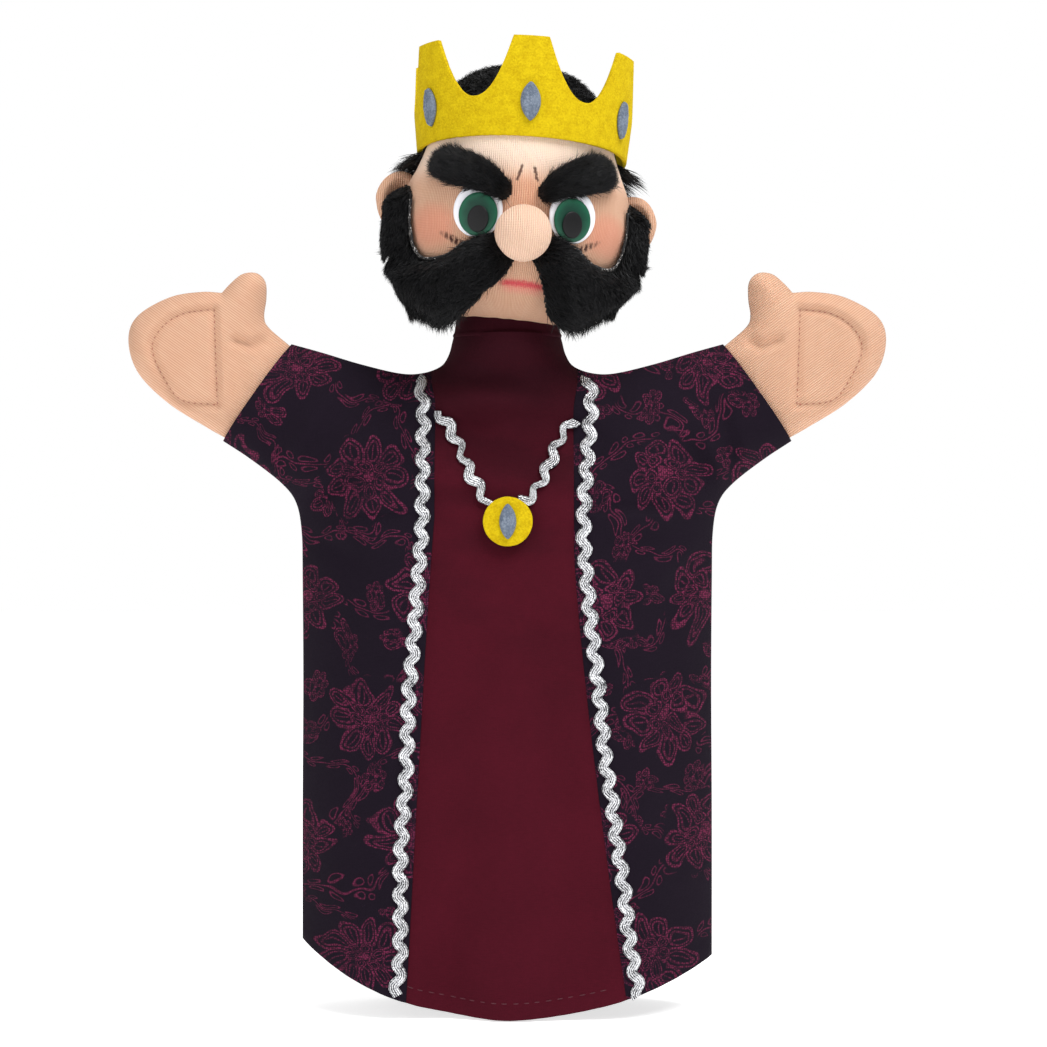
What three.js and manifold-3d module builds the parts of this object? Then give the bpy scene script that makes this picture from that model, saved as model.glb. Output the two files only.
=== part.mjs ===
// A king hand puppet: a cloth robe worn over the hand, a stuffed ball head on a finger tube,
// two stuffed mitten hands, plush whiskers and eyebrows, and a felt crown with gems.
//
// Millimetres, +Z up, the face looks along -Y. The origin is the middle of the hem opening,
// at the height of the lowest point of the hem. "left" is the puppet's own left, on +X.

import * as THREE from 'three';
import { mergeVertices } from 'three/addons/utils/BufferGeometryUtils.js';
import Module from 'manifold-3d';

const wasm = await Module();
wasm.setup();

// ---------------------------------------------------------------- driving dimensions

const GAP = 0.3; // between pieces that touch
const CLOTH = 1.5; // lined robe cloth

const ROBE = {
  halfWidth: 63,
  hemRise: 19, // how much higher the hem is at the sides than in the middle
  top: 196, // height of the shoulder line beside the neck
  shoulderRise: 6.5, // further rise of the shoulder line out to the arm
  riseStart: 30, // x where that rise starts
  riseWidth: 30, // and how far out it goes on
  across: 6, // facets across a front panel
  backAcross: 8, // and across a back panel
  up: 13, // facets up a side or back panel
  centerUp: 14, // and up the centre panel
};

// The long front seams: x at the top, how far they spread down to the hem, the height where
// the spreading starts, and how it grows.
const LEFT_SEAM = { top: 20.2, spread: 16.5, start: 140, power: 1.25 };
const RIGHT_SEAM = { top: 21.8, spread: 8.7, start: 150, power: 0.9 };

const NECK = {
  height: 196, // of the nod axis, above the hem
  opening: 18.2, // radius of the ball-shaped cut that the collar moves in
  halfWidth: 16.1,
  halfDepth: 15.0,
  below: 4.5, // how far the collar reaches below the nod axis
  above: 11.5, // and above it
};

const ARM = {
  x: 66, // shoulder axis
  z: 181,
  angle: THREE.MathUtils.degToRad(36), // how far the sleeve points above the horizontal
  radius: 21.5, // round shoulder end of the sleeve
  clearance: 0.7, // between that end and the robe
  sleeveEnd: 13.3, // along the arm from the shoulder axis
  cuffHalf: 18.3, // half the width of the sleeve end
  wrist: 16.8, // the axis on which the hand folds
  rootThick: 11.0, // half thickness of the sleeve at the shoulder
  cuffThick: 8.9, // and at the cuff
};

// The padding is an oval disc: half its thickness, its half sizes, and its distance from the
// shoulder axis.
const HAND = {
  halfThick: 7.5,
  edge: 3.6,
  paddingThick: 3,
  paddingLong: 13,
  paddingWide: 10,
  paddingAt: 37,
};

const HEAD = {
  lean: THREE.MathUtils.degToRad(3.3), // towards the puppet's left
  yaw: THREE.MathUtils.degToRad(4.2),
  depth: 0.95, // front-to-back size over width
  skin: 1.0,
  segments: 24,
};

const TUBE = { outer: 10.3, inner: 8.8, bottom: -7, top: 56 }; // finger tube, from the nod axis

// The three discs of an eye: half sizes, how far each middle is below the first, and the
// distances of the back and the front from the head.
const EYE = {
  x: 14.1,
  z: 46.0,
  white: { halfWidth: 7.1, halfHeight: 7.6, below: 0, near: 0.3, far: 1.1 },
  iris: { halfWidth: 5.3, halfHeight: 6.1, below: 1.2, near: 1.4, far: 2.0 },
  pupil: { halfWidth: 3.2, halfHeight: 3.9, below: 2.6, near: 2.3, far: 2.9 },
};
const NOSE = { radius: 8.1, y: -37.6, z: 40.0, cover: 1 };

// Plush lies between these two distances from the head; the hair's is thin under the crown.
const FUR = { near: 0.4, whiskers: 5.6, eyebrow: 5.0, hair: 4.6, hairThin: 1.1 };

// ear: half sizes and the middle of the flattened ball that stands out of the head
const EAR = { halfX: 9, halfY: 3.6, halfZ: 10.5, x: 34.2, y: 5.6, z: 50.5 };

const CROWN = {
  bottom: 66, // height of the lower edge above the nod axis
  radius: 31.6, // outer, at the lower edge
  flare: 1.6, // further out at the tips
  felt: 1.3,
  band: 13, // height of the band in the valleys
  peak: 29, // height of the points
  points: 6,
  tipHalfAngle: THREE.MathUtils.degToRad(8.9),
  tilt: THREE.MathUtils.degToRad(6), // leans back
};

// height above the crown's lower edge, and distance out from its lower edge's radius
const GEM = { halfWidth: 3.0, halfHeight: 5.9, thick: 1.2, height: 10.2, fromCrown: 1.15 };

// Wavy braid: length of one wave, how far it swings, half its width, its thickness, how far
// its middle is from the seam, its clearance from the cloth, and the height of its top end.
const RICKRACK = {
  pitch: 6.9,
  swing: 1.1,
  half: 1.5,
  thick: 0.8,
  fromSeam: 3.6,
  lift: 0.5,
  top: 192,
};

// The necklace braid: folds from the seam to the pendant, their swing, how much an edge is
// raised by the slant of the braid, its thickness, and its clearance from the cloth.
const STRAND = {
  folds: 9,
  swing: 1.1,
  slant: 0.6,
  thick: 0.7,
  lift: 1,
  left: { from: [16.2, 180.5], to: [4.6, 154.5] },
  right: { from: [-18.6, 182.5], to: [-6.0, 153.6] },
};

const PENDANT = { x: 0.3, z: 149.2, radius: 7.7, thick: 2, back: -23.6, gemWide: 0.9, gemTall: 0.93 };

const COLOR = {
  burgundy: 0x4e1122,
  print: 0x1c1420,
  silver: 0xb9bcc2,
  skin: 0xf0cdaf,
  fur: 0x101013,
  felt: 0xe1cd14,
  gem: 0x7b8590,
  white: 0xf4f2f4,
  green: 0x14644a,
  black: 0x0a0a0b,
  card: 0xb59a72,
  stuffing: 0xeeece6,
};

// ---------------------------------------------------------------- helpers

const mix = (a, b, t) => a + (b - a) * t;
const clamp01 = (t) => Math.min(1, Math.max(0, t));
const smooth = (t) => clamp01(t) ** 2 * (3 - 2 * clamp01(t));

// a smooth curve through [height, value] pairs, read as a function of height
const along = (pairs) => (h) => {
  const last = pairs.length - 1;
  if (h <= pairs[0][0]) return pairs[0][1];
  if (h >= pairs[last][0]) return pairs[last][1];
  const i = pairs.findIndex(([top]) => top > h) - 1;
  const [h0, v0] = pairs[i];
  const [h1, v1] = pairs[i + 1];
  return mix(v0, v1, smooth((h - h0) / (h1 - h0)));
};

const signedVolume = (geometry) => {
  const p = geometry.attributes.position;
  const corners = [0, 1, 2].map(() => new THREE.Vector3());
  let sum = 0;
  for (let i = 0; i < geometry.index.count; i += 3) {
    corners.forEach((c, k) => c.fromBufferAttribute(p, geometry.index.getX(i + k)));
    sum += corners[0].dot(corners[1].clone().cross(corners[2])) / 6;
  }
  return sum;
};

// only positions, shared vertices merged, no empty triangles, faces pointing out
const closed = (source) => {
  const bare = source.index ? source.clone() : source;
  for (const name of Object.keys(bare.attributes)) {
    if (name !== 'position') bare.deleteAttribute(name);
  }
  const geometry = mergeVertices(bare, 1e-4);
  const merged = geometry.index.array;
  const turn = signedVolume(geometry) < 0;
  const index = [];
  for (let i = 0; i < merged.length; i += 3) {
    const [a, b, c] = merged.slice(i, i + 3);
    if (a !== b && b !== c && c !== a) index.push(...(turn ? [b, a, c] : [a, b, c]));
  }
  geometry.setIndex(index);
  return geometry;
};

const solid = (source) => {
  const geometry = closed(source);
  return new wasm.Manifold(new wasm.Mesh({
    numProp: 3,
    vertProperties: new Float32Array(geometry.attributes.position.array),
    triVerts: new Uint32Array(geometry.index.array),
  }));
};

const geometryOf = (body) => {
  const mesh = body.getMesh();
  const geometry = new THREE.BufferGeometry();
  geometry.setAttribute('position', new THREE.BufferAttribute(mesh.vertProperties, 3));
  geometry.setIndex(Array.from(mesh.triVerts));
  return geometry;
};

// a thin closed plate: map(u, v, w) gives its points, with w 0 and 1 on its two faces
const plate = (map, across, up) => {
  const geometry = new THREE.BoxGeometry(1, 1, 1, across, 1, up);
  const p = geometry.attributes.position;
  for (let i = 0; i < p.count; i += 1) {
    p.setXYZ(i, ...map(p.getX(i) + 0.5, p.getZ(i) + 0.5, p.getY(i) + 0.5));
  }
  return closed(geometry);
};

const box = (x0, x1, y0, y1, z0, z1) => {
  const geometry = new THREE.BoxGeometry(x1 - x0, y1 - y0, z1 - z0);
  geometry.translate((x0 + x1) / 2, (y0 + y1) / 2, (z0 + z1) / 2);
  return solid(geometry);
};

const piece = (name, geometry, color, roughness = 0.9, metalness = 0) => {
  const material = new THREE.MeshStandardMaterial({ color, roughness, metalness });
  const mesh = new THREE.Mesh(geometry, material);
  mesh.name = name;
  return mesh;
};

const SIDES = [['left', 1], ['right', -1]];

// ---------------------------------------------------------------- robe

// x of the seams between the centre front panel and the side panels
const seamOf = ({ top, spread, start, power }) => (z) => (
  top + spread * clamp01((start - z) / start) ** power
);
const leftSeam = seamOf(LEFT_SEAM);
const rightSeam = (z) => -seamOf(RIGHT_SEAM)(z);

const shoulderLine = (x) => {
  const out = (Math.abs(x) - ROBE.riseStart) / ROBE.riseWidth;
  return ROBE.top - 1 + ROBE.shoulderRise * smooth(out);
};

// half width of the robe's outline: straight sides, then the underside of the sleeve
const outline = along([[135, ROBE.halfWidth], [159, 67], [176, 89], [190, 98]]);

const bellyDepth = along([[0, 23], [60, 24.5], [120, 24.5], [150, 22], [175, 17.5], [196, 14.6]]);

// half the robe's outer thickness at a place on its front or back
const robeDepth = (x, z) => {
  const rest = CLOTH + GAP / 2;
  const across = 1 - Math.min(1, Math.abs(x) / outline(z)) ** 3;
  const below = clamp01((shoulderLine(x) - z) / 28);
  const shut = smooth((Math.abs(x) - 17) / 14) * (1 - below) ** 3;
  return rest + (bellyDepth(z) - rest) * across * (1 - shut);
};

// outer edge of a side panel, before the round cut that the sleeve turns in
const panelEdge = (z) => Math.min(outline(z) - 0.4, ARM.x - 0.5);

const hem = (x) => ROBE.hemRise * (x / ROBE.halfWidth) ** 2;

// one layer of the robe between two edges, in front (face -1) or behind (face 1)
const robeLayer = (inner, outer, face, across, up) => plate((u, v, w) => {
  const level = v * ROBE.top;
  const x = mix(inner(level), outer(level), u);
  const z = mix(hem(x), shoulderLine(x) - GAP, v);
  const depth = robeDepth(x, z) - CLOTH * (face < 0 ? w : 1 - w);
  return [x, face * depth, z];
}, across, up);

// the ball-shaped neck opening and the round cuts for the sleeves
const robeCuts = () => {
  const ball = new THREE.SphereGeometry(NECK.opening, 24, 14);
  ball.translate(0, 0, NECK.height);
  const cuts = [ball];
  for (const [, s] of SIDES) {
    const radius = ARM.radius + ARM.clearance;
    const round = new THREE.CylinderGeometry(radius, radius, 2 * ROBE.halfWidth, 40);
    round.translate(s * ARM.x, 0, ARM.z);
    cuts.push(round);
  }
  return cuts.map(solid).reduce((all, next) => all.add(next));
};

const makeRobe = () => {
  const robe = new THREE.Group();
  const cuts = robeCuts();
  const cut = (geometry) => geometryOf(solid(geometry).subtract(cuts));
  const seam = GAP / 2;
  const centerFrom = (z) => rightSeam(z) + seam;
  const centerTo = (z) => leftSeam(z) - seam;
  const center = robeLayer(centerFrom, centerTo, -1, ROBE.across, ROBE.centerUp);
  robe.add(piece('center_front_panel', cut(center), COLOR.burgundy, 0.8));
  for (const [side, s] of SIDES) {
    const front = (z) => (s > 0 ? leftSeam(z) : rightSeam(z)) + s * seam;
    const edge = (z) => s * panelEdge(z);
    const frontLayer = robeLayer(front, edge, -1, ROBE.across, ROBE.up);
    robe.add(piece(`${side}_front_panel`, cut(frontLayer), COLOR.print, 0.85));
    const backLayer = robeLayer(() => s * seam, edge, 1, ROBE.backAcross, ROBE.up);
    robe.add(piece(`${side}_back_panel`, cut(backLayer), COLOR.print, 0.85));
  }
  robe.add(makeTrim('left_rickrack_trim', (z) => leftSeam(z) + RICKRACK.fromSeam));
  robe.add(makeTrim('right_rickrack_trim', (z) => rightSeam(z) - RICKRACK.fromSeam));
  return robe;
};

// wavy braid sewn beside a seam: one fold of the zigzag at each half pitch
const makeTrim = (name, line) => {
  const { top } = RICKRACK;
  const folds = Math.round(top / (RICKRACK.pitch / 2));
  const low = (x) => hem(x) + 1;
  const geometry = plate((u, v, w) => {
    const fold = Math.round(v * folds);
    const middle = line(v * top);
    const z = mix(low(middle), top, v);
    const x = line(z) + RICKRACK.swing * (fold % 2 ? 1 : -1) + mix(-1, 1, u) * RICKRACK.half;
    const lift = RICKRACK.lift + RICKRACK.thick * (1 - w);
    return [x, -robeDepth(x, z) - lift, z];
  }, 1, folds);
  return piece(name, geometry, COLOR.silver, 0.4, 0.7);
};

// ---------------------------------------------------------------- collar

const makeCollar = () => {
  const collar = new THREE.Group();
  for (const [name, turn, color] of [
    ['collar_front', -1, COLOR.burgundy],
    ['collar_back', 1, COLOR.print],
  ]) {
    const seamAngle = GAP / 2 / NECK.halfWidth;
    const geometry = plate((u, v, w) => {
      const angle = mix(seamAngle, Math.PI - seamAngle, u);
      const inset = CLOTH * w;
      const x = Math.cos(angle) * (NECK.halfWidth - inset);
      const y = turn * Math.sin(angle) * (NECK.halfDepth - inset);
      return [x, y, NECK.height + mix(-NECK.below, NECK.above, v)];
    }, 12, 2);
    collar.add(piece(name, geometry, color, 0.85));
  }
  return collar;
};

// ---------------------------------------------------------------- arms

// In an arm's own frame x runs out along the arm from the shoulder axis, y towards the
// thumb's edge and z towards the front.

const sleeveHalf = (a) => mix(ARM.radius, ARM.cuffHalf, clamp01(a / ARM.sleeveEnd));

const sleeveDepth = (a, across) => {
  const rest = CLOTH + GAP / 2;
  const middle = mix(ARM.cuffThick, ARM.rootThick, clamp01((ARM.sleeveEnd - a) / 30));
  return rest + (middle - rest) * (1 - Math.abs(across) ** 3);
};

const sleeveLayer = (face) => plate((u, v, w) => {
  const across = mix(-1, 1, u);
  const start = -ARM.radius * Math.sqrt(1 - across ** 2);
  const a = mix(start, ARM.sleeveEnd, v);
  const depth = sleeveDepth(a, across) - CLOTH * w;
  return [a, across * sleeveHalf(a), face * depth];
}, 12, 5);

// mitten with its thumb, from the wrist out
const handOutline = () => {
  const shape = new THREE.Shape();
  const root = ARM.wrist + GAP;
  shape.moveTo(root, -17.2);
  shape.splineThru([
    new THREE.Vector2(34, -18.8),
    new THREE.Vector2(47, -16.6),
    new THREE.Vector2(55.8, -9.8),
    new THREE.Vector2(57, -2.6),
    new THREE.Vector2(52.2, 8),
    new THREE.Vector2(45.5, 15),
    new THREE.Vector2(40.2, 18.6),
  ]);
  shape.splineThru([
    new THREE.Vector2(39.4, 24.8),
    new THREE.Vector2(36.2, 29.2),
    new THREE.Vector2(31.6, 29.3),
    new THREE.Vector2(28, 24.7),
    new THREE.Vector2(24.4, 18.6),
    new THREE.Vector2(root, 18.0),
  ]);
  shape.closePath();
  return shape;
};

const handBlock = () => {
  const straight = HAND.halfThick - HAND.edge;
  const geometry = new THREE.ExtrudeGeometry(handOutline(), {
    depth: 2 * straight,
    curveSegments: 2,
    bevelEnabled: true,
    bevelThickness: HAND.edge,
    bevelSize: HAND.edge,
    bevelOffset: -HAND.edge,
    bevelSegments: 3,
  });
  geometry.translate(0, 0, -straight);
  return solid(geometry);
};

const handPadding = (grow) => {
  const thick = HAND.paddingThick + grow;
  const geometry = new THREE.CylinderGeometry(1, 1, 2 * thick, 24);
  geometry.rotateX(Math.PI / 2);
  geometry.scale(HAND.paddingLong + grow, HAND.paddingWide + grow, 1);
  geometry.translate(HAND.paddingAt, 0, 0);
  return closed(geometry);
};

const makeArm = (side) => {
  const arm = new THREE.Group();
  arm.add(piece(`${side}_sleeve_front`, sleeveLayer(1), COLOR.print, 0.85));
  arm.add(piece(`${side}_sleeve_back`, sleeveLayer(-1), COLOR.print, 0.85));
  const hollow = solid(handPadding(GAP));
  const block = handBlock().subtract(hollow);
  const front = block.intersect(box(0, 80, -40, 40, GAP / 2, 20));
  const back = block.intersect(box(0, 80, -40, 40, -20, -GAP / 2));
  arm.add(piece(`${side}_hand_palm`, geometryOf(front), COLOR.skin, 0.9));
  arm.add(piece(`${side}_hand_back`, geometryOf(back), COLOR.skin, 0.9));
  arm.add(piece(`${side}_hand_padding`, handPadding(0), COLOR.stuffing, 1));
  arm.position.set(ARM.x, 0, ARM.z);
  arm.rotation.set(Math.PI / 2, -ARM.angle, 0, 'YXZ');
  return arm;
};

const makeArms = () => {
  const arms = new THREE.Group();
  for (const [side, s] of SIDES) {
    const half = new THREE.Group();
    half.scale.x = s;
    half.add(makeArm(side));
    arms.add(half);
  }
  return arms;
};

// ---------------------------------------------------------------- head

// Head heights are counted from the nod axis. Profiles run from the neck up to the crown
// of the head, as [radius, height].

const SKULL = [
  [13.3, 8], [13.4, 12], [17, 15.5], [22.5, 19], [28, 24.5], [32, 31], [34.3, 38.5], [35, 46],
  [34, 54], [31, 60.5], [28.7, 66], [27.8, 72], [26, 78], [22, 83.5], [15, 87.8], [7.5, 90],
  [0, 90.6],
].map(([r, z]) => new THREE.Vector2(r, z));

// the surface that the whiskers hang on: it leaves the jaw and goes on down
const DRAPE = [
  [19, 3], [24, 8], [28, 14], [31, 21], [33.2, 29], [34.9, 37.5], [35.3, 46], [34.3, 54],
  [31.8, 61], [29.8, 65],
].map(([r, z]) => new THREE.Vector2(r, z));

// a profile moved outward by a distance, without crossing the axis
const offset = (profile, distance) => profile.map((point, i) => {
  const before = profile[Math.max(0, i - 1)];
  const after = profile[Math.min(profile.length - 1, i + 1)];
  const tangent = after.clone().sub(before).normalize();
  if (point.x === 0) return new THREE.Vector2(0, point.y + distance);
  return new THREE.Vector2(point.x + tangent.y * distance, point.y - tangent.x * distance);
});

const turned = (profile) => {
  const geometry = new THREE.LatheGeometry(profile, HEAD.segments);
  geometry.rotateX(Math.PI / 2);
  geometry.scale(1, HEAD.depth, 1);
  return geometry;
};

// everything between two distances from a profile, all round
const coat = (profile, near, far) => {
  const inner = offset(profile, near);
  const outer = offset(profile, far).reverse();
  return solid(turned([...inner, ...outer, inner[0]]));
};

// the skull grown by a distance, as a full body
const grown = (distance) => {
  const profile = offset(SKULL, distance);
  return solid(turned([new THREE.Vector2(0, profile[0].y), ...profile]));
};

// what stands in front of the head within an outline of x and z
const frontOf = (shape, curveSegments, y0 = -60, y1 = 0.5) => {
  const geometry = new THREE.ExtrudeGeometry(shape, {
    depth: y1 - y0,
    curveSegments,
    bevelEnabled: false,
  });
  geometry.rotateX(Math.PI / 2);
  geometry.translate(0, y1, 0);
  return solid(geometry);
};

const ellipse = (x, z, halfWidth, halfHeight) => {
  const shape = new THREE.Shape();
  shape.absellipse(x, z, halfWidth, halfHeight, 0, Math.PI * 2);
  return shape;
};

const mirrored = (s, points) => points.map(([x, z]) => new THREE.Vector2(s * x, z));

const whiskerOutline = (s) => {
  const shape = new THREE.Shape();
  const [first, ...outer] = mirrored(s, [
    [35.5, 59], [41, 55], [43.5, 46], [41, 34], [35.5, 23.5], [28, 15.5], [19, 11.5], [12.5, 14.5],
    [8, 22], [4.6, 28.5], [1.5, 33],
  ]);
  const inner = mirrored(s, [
    [9, 42.5], [20, 37.5], [28, 33.5], [33, 38], [34.4, 46], [35.5, 59],
  ]);
  shape.moveTo(first.x, first.y);
  shape.splineThru(outer);
  shape.splineThru(inner);
  return shape;
};

const eyebrowOutline = (s) => {
  const shape = new THREE.Shape();
  const [first, ...rest] = mirrored(s, [
    [5.5, 57.5], [16, 64], [25, 66.5], [30, 63], [30.5, 56], [25, 54.5], [14, 53], [7.5, 50.5],
    [5.5, 57.5],
  ]);
  shape.moveTo(first.x, first.y);
  shape.splineThru(rest);
  return shape;
};

const noseBall = (radius) => {
  const ball = new THREE.SphereGeometry(radius, 16, 10);
  ball.translate(0, NOSE.y, NOSE.z);
  return solid(ball);
};

const EYE_SEGMENTS = 11;

const makeEye = (side, s) => {
  const eye = new THREE.Group();
  const layers = [['white', COLOR.white], ['iris', COLOR.green], ['pupil', COLOR.black]];
  const nose = noseBall(NOSE.radius + GAP);
  for (const [part, color] of layers) {
    const { halfWidth, halfHeight, below, near, far } = EYE[part];
    const shape = ellipse(s * EYE.x, EYE.z - below, halfWidth, halfHeight);
    const body = coat(SKULL, near, far).intersect(frontOf(shape, EYE_SEGMENTS)).subtract(nose);
    eye.add(piece(`${side}_eye_${part}`, geometryOf(body), color, 0.35));
  }
  return eye;
};

const eyeSockets = () => SIDES
  .map(([, s]) => ellipse(s * EYE.x, EYE.z, EYE.white.halfWidth + GAP, EYE.white.halfHeight + GAP))
  .map((shape) => grown(EYE.pupil.far + 0.4).intersect(frontOf(shape, EYE_SEGMENTS)))
  .reduce((all, next) => all.add(next));

const makeFur = (name, profile, shape, far, away) => {
  const body = coat(profile, FUR.near, far).intersect(frontOf(shape, 2)).subtract(away);
  return piece(name, geometryOf(body), COLOR.fur, 1);
};

const earBall = (s, grow) => {
  const ball = new THREE.SphereGeometry(1, 14, 8);
  ball.scale(EAR.halfX + grow, EAR.halfY + grow, EAR.halfZ + grow);
  ball.translate(s * EAR.x, EAR.y, EAR.z);
  return solid(ball);
};

const makeEar = (side, s) => {
  const body = earBall(s, 0).subtract(grown(GAP));
  return piece(`${side}_ear`, geometryOf(body), COLOR.skin, 0.9);
};

// plush over the back and top of the head: low behind, above the ears at the temples
const makeHair = () => {
  const side = new THREE.Shape();
  const [first, ...rest] = [
    [-40, 96], [-40, 73], [-7, 71], [-3, 62.5], [12, 61], [14, 42], [11, 24], [18, 18], [42, 18],
    [42, 96],
  ].map(([y, z]) => new THREE.Vector2(y, z));
  side.moveTo(first.x, first.y);
  rest.forEach((point) => side.lineTo(point.x, point.y));
  const geometry = new THREE.ExtrudeGeometry(side, { depth: 100, bevelEnabled: false });
  geometry.rotateX(Math.PI / 2);
  geometry.rotateZ(Math.PI / 2);
  geometry.translate(-50, 0, 0);
  const thin = coat(SKULL, GAP, FUR.hairThin);
  const thick = coat(SKULL, GAP, FUR.hair);
  const underCrown = box(-60, 60, -60, 60, CROWN.bottom - 6, CROWN.bottom + CROWN.band + 4);
  const pile = thick.subtract(underCrown);
  const ears = earBall(1, 0.5).add(earBall(-1, 0.5));
  const body = thin.add(pile).intersect(solid(geometry)).subtract(ears);
  return piece('hair_cap', geometryOf(body), COLOR.fur, 1);
};

const makeCrown = () => {
  const crown = new THREE.Group();
  const step = (Math.PI * 2) / CROWN.points;
  const topEdge = (angle) => {
    const fromPoint = Math.abs(((angle + step / 2) % step) - step / 2);
    const down = clamp01((fromPoint - CROWN.tipHalfAngle) / (step / 2 - CROWN.tipHalfAngle));
    return mix(CROWN.band, CROWN.peak, (1 - down) ** 2.2);
  };
  // the ends of the felt strip meet in a valley behind
  const seam = Math.PI + step / 2;
  const seamGap = 0.008;
  const band = plate((u, v, w) => {
    const angle = mix(seam + seamGap, seam + Math.PI * 2 - seamGap, u);
    const height = topEdge(angle) * v;
    const radius = CROWN.radius + CROWN.flare * (height / CROWN.peak) - CROWN.felt * w;
    return [Math.sin(angle) * radius, -Math.cos(angle) * radius, height];
  }, CROWN.points * 10, 1);
  crown.add(piece('crown_band', band, COLOR.felt, 0.95));
  for (let i = 0; i < CROWN.points; i += 1) {
    const gem = makeGem();
    const holder = new THREE.Group();
    holder.rotation.z = i * step;
    gem.position.set(0, -(CROWN.radius + GEM.fromCrown), GEM.height);
    gem.name = `crown_gem_${i + 1}`;
    holder.add(gem);
    crown.add(holder);
  }
  crown.position.set(0, 0, CROWN.bottom);
  crown.rotation.x = -CROWN.tilt;
  return crown;
};

// a pointed oval plate, facing -Y
const makeGem = () => {
  const { halfWidth: w, halfHeight: h } = GEM;
  const shape = new THREE.Shape();
  shape.moveTo(0, -h);
  shape.quadraticCurveTo(2 * w, 0, 0, h);
  shape.quadraticCurveTo(-2 * w, 0, 0, -h);
  const geometry = new THREE.ExtrudeGeometry(shape, {
    depth: GEM.thick,
    curveSegments: 8,
    bevelEnabled: false,
  });
  geometry.rotateX(Math.PI / 2);
  return piece('gem', closed(geometry), COLOR.gem, 0.6);
};

const makeHead = () => {
  const head = new THREE.Group();
  const skin = offset(SKULL, -HEAD.skin);
  const cover = closed(turned([...SKULL, ...skin.reverse(), SKULL[0]]));
  head.add(piece('head_cover', cover, COLOR.skin, 0.9));

  const bore = new THREE.CylinderGeometry(TUBE.outer + GAP, TUBE.outer + GAP, TUBE.top + GAP, 24);
  bore.rotateX(Math.PI / 2);
  bore.translate(0, 0, (TUBE.top + GAP) / 2);
  const core = grown(-HEAD.skin - GAP).subtract(solid(bore));
  head.add(piece('head_core', geometryOf(core), COLOR.stuffing, 1));

  const tube = new THREE.LatheGeometry([
    new THREE.Vector2(TUBE.inner, TUBE.bottom),
    new THREE.Vector2(TUBE.outer, TUBE.bottom),
    new THREE.Vector2(TUBE.outer, TUBE.top),
    new THREE.Vector2(TUBE.inner, TUBE.top),
    new THREE.Vector2(TUBE.inner, TUBE.bottom),
  ], 24);
  tube.rotateX(Math.PI / 2);
  head.add(piece('neck_tube', closed(tube), COLOR.card, 1));

  const skull = grown(GAP);
  const noseInside = NOSE.radius - NOSE.cover;
  const noseShell = noseBall(NOSE.radius).subtract(noseBall(noseInside)).subtract(skull);
  const noseStuffing = noseBall(noseInside - GAP).subtract(skull);
  head.add(piece('nose_cover', geometryOf(noseShell), COLOR.skin, 0.9));
  head.add(piece('nose_core', geometryOf(noseStuffing), COLOR.stuffing, 1));

  const away = eyeSockets().add(noseBall(NOSE.radius + 0.4));
  for (const [side, s] of SIDES) {
    head.add(makeEye(side, s));
    head.add(makeEar(side, s));
    head.add(makeFur(`${side}_whiskers`, DRAPE, whiskerOutline(s), FUR.whiskers, away));
    head.add(makeFur(`${side}_eyebrow`, SKULL, eyebrowOutline(s), FUR.eyebrow, away));
  }
  head.add(makeHair());
  head.add(makeCrown());
  head.position.set(0, 0, NECK.height);
  head.rotation.set(0, HEAD.lean, HEAD.yaw, 'YZX');
  return head;
};

// ---------------------------------------------------------------- necklace

// wavy braid from the seam down to the pendant
const makeStrand = (name, { from, to }) => {
  const geometry = plate((u, v, w) => {
    const fold = Math.round(v * STRAND.folds);
    const side = Math.sign(from[0]);
    const across = mix(-1, 1, u);
    const swing = STRAND.swing * (fold % 2 ? 1 : -1);
    const x = mix(from[0], to[0], v) + swing + across * RICKRACK.half;
    const z = mix(from[1], to[1], v) + side * across * STRAND.slant;
    const behind = robeDepth(x, z) + STRAND.lift;
    return [x, -behind - STRAND.thick * (1 - w), z];
  }, 1, STRAND.folds);
  return piece(name, geometry, COLOR.silver, 0.4, 0.7);
};

const makeNecklace = () => {
  const necklace = new THREE.Group();
  necklace.add(makeStrand('left_necklace_strand', STRAND.left));
  necklace.add(makeStrand('right_necklace_strand', STRAND.right));
  const disc = new THREE.CylinderGeometry(PENDANT.radius, PENDANT.radius, PENDANT.thick, 28);
  disc.translate(PENDANT.x, PENDANT.back - PENDANT.thick / 2, PENDANT.z);
  necklace.add(piece('pendant_disc', closed(disc), COLOR.felt, 0.95));
  const gem = makeGem();
  gem.name = 'pendant_gem';
  gem.scale.set(PENDANT.gemWide, 1, PENDANT.gemTall);
  gem.position.set(PENDANT.x, PENDANT.back - PENDANT.thick - GAP, PENDANT.z);
  necklace.add(gem);
  return necklace;
};

// ---------------------------------------------------------------- puppet

const puppet = new THREE.Group();
puppet.add(makeRobe());
puppet.add(makeCollar());
puppet.add(makeArms());
puppet.add(makeHead());
puppet.add(makeNecklace());

export default puppet;
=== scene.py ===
"""Hand puppet of a king: cotton robe, stretch-knit head and hands, plush hair, felt crown."""
import math

import bpy
import numpy as np
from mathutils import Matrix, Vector
from mathutils.geometry import delaunay_2d_cdt


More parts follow.
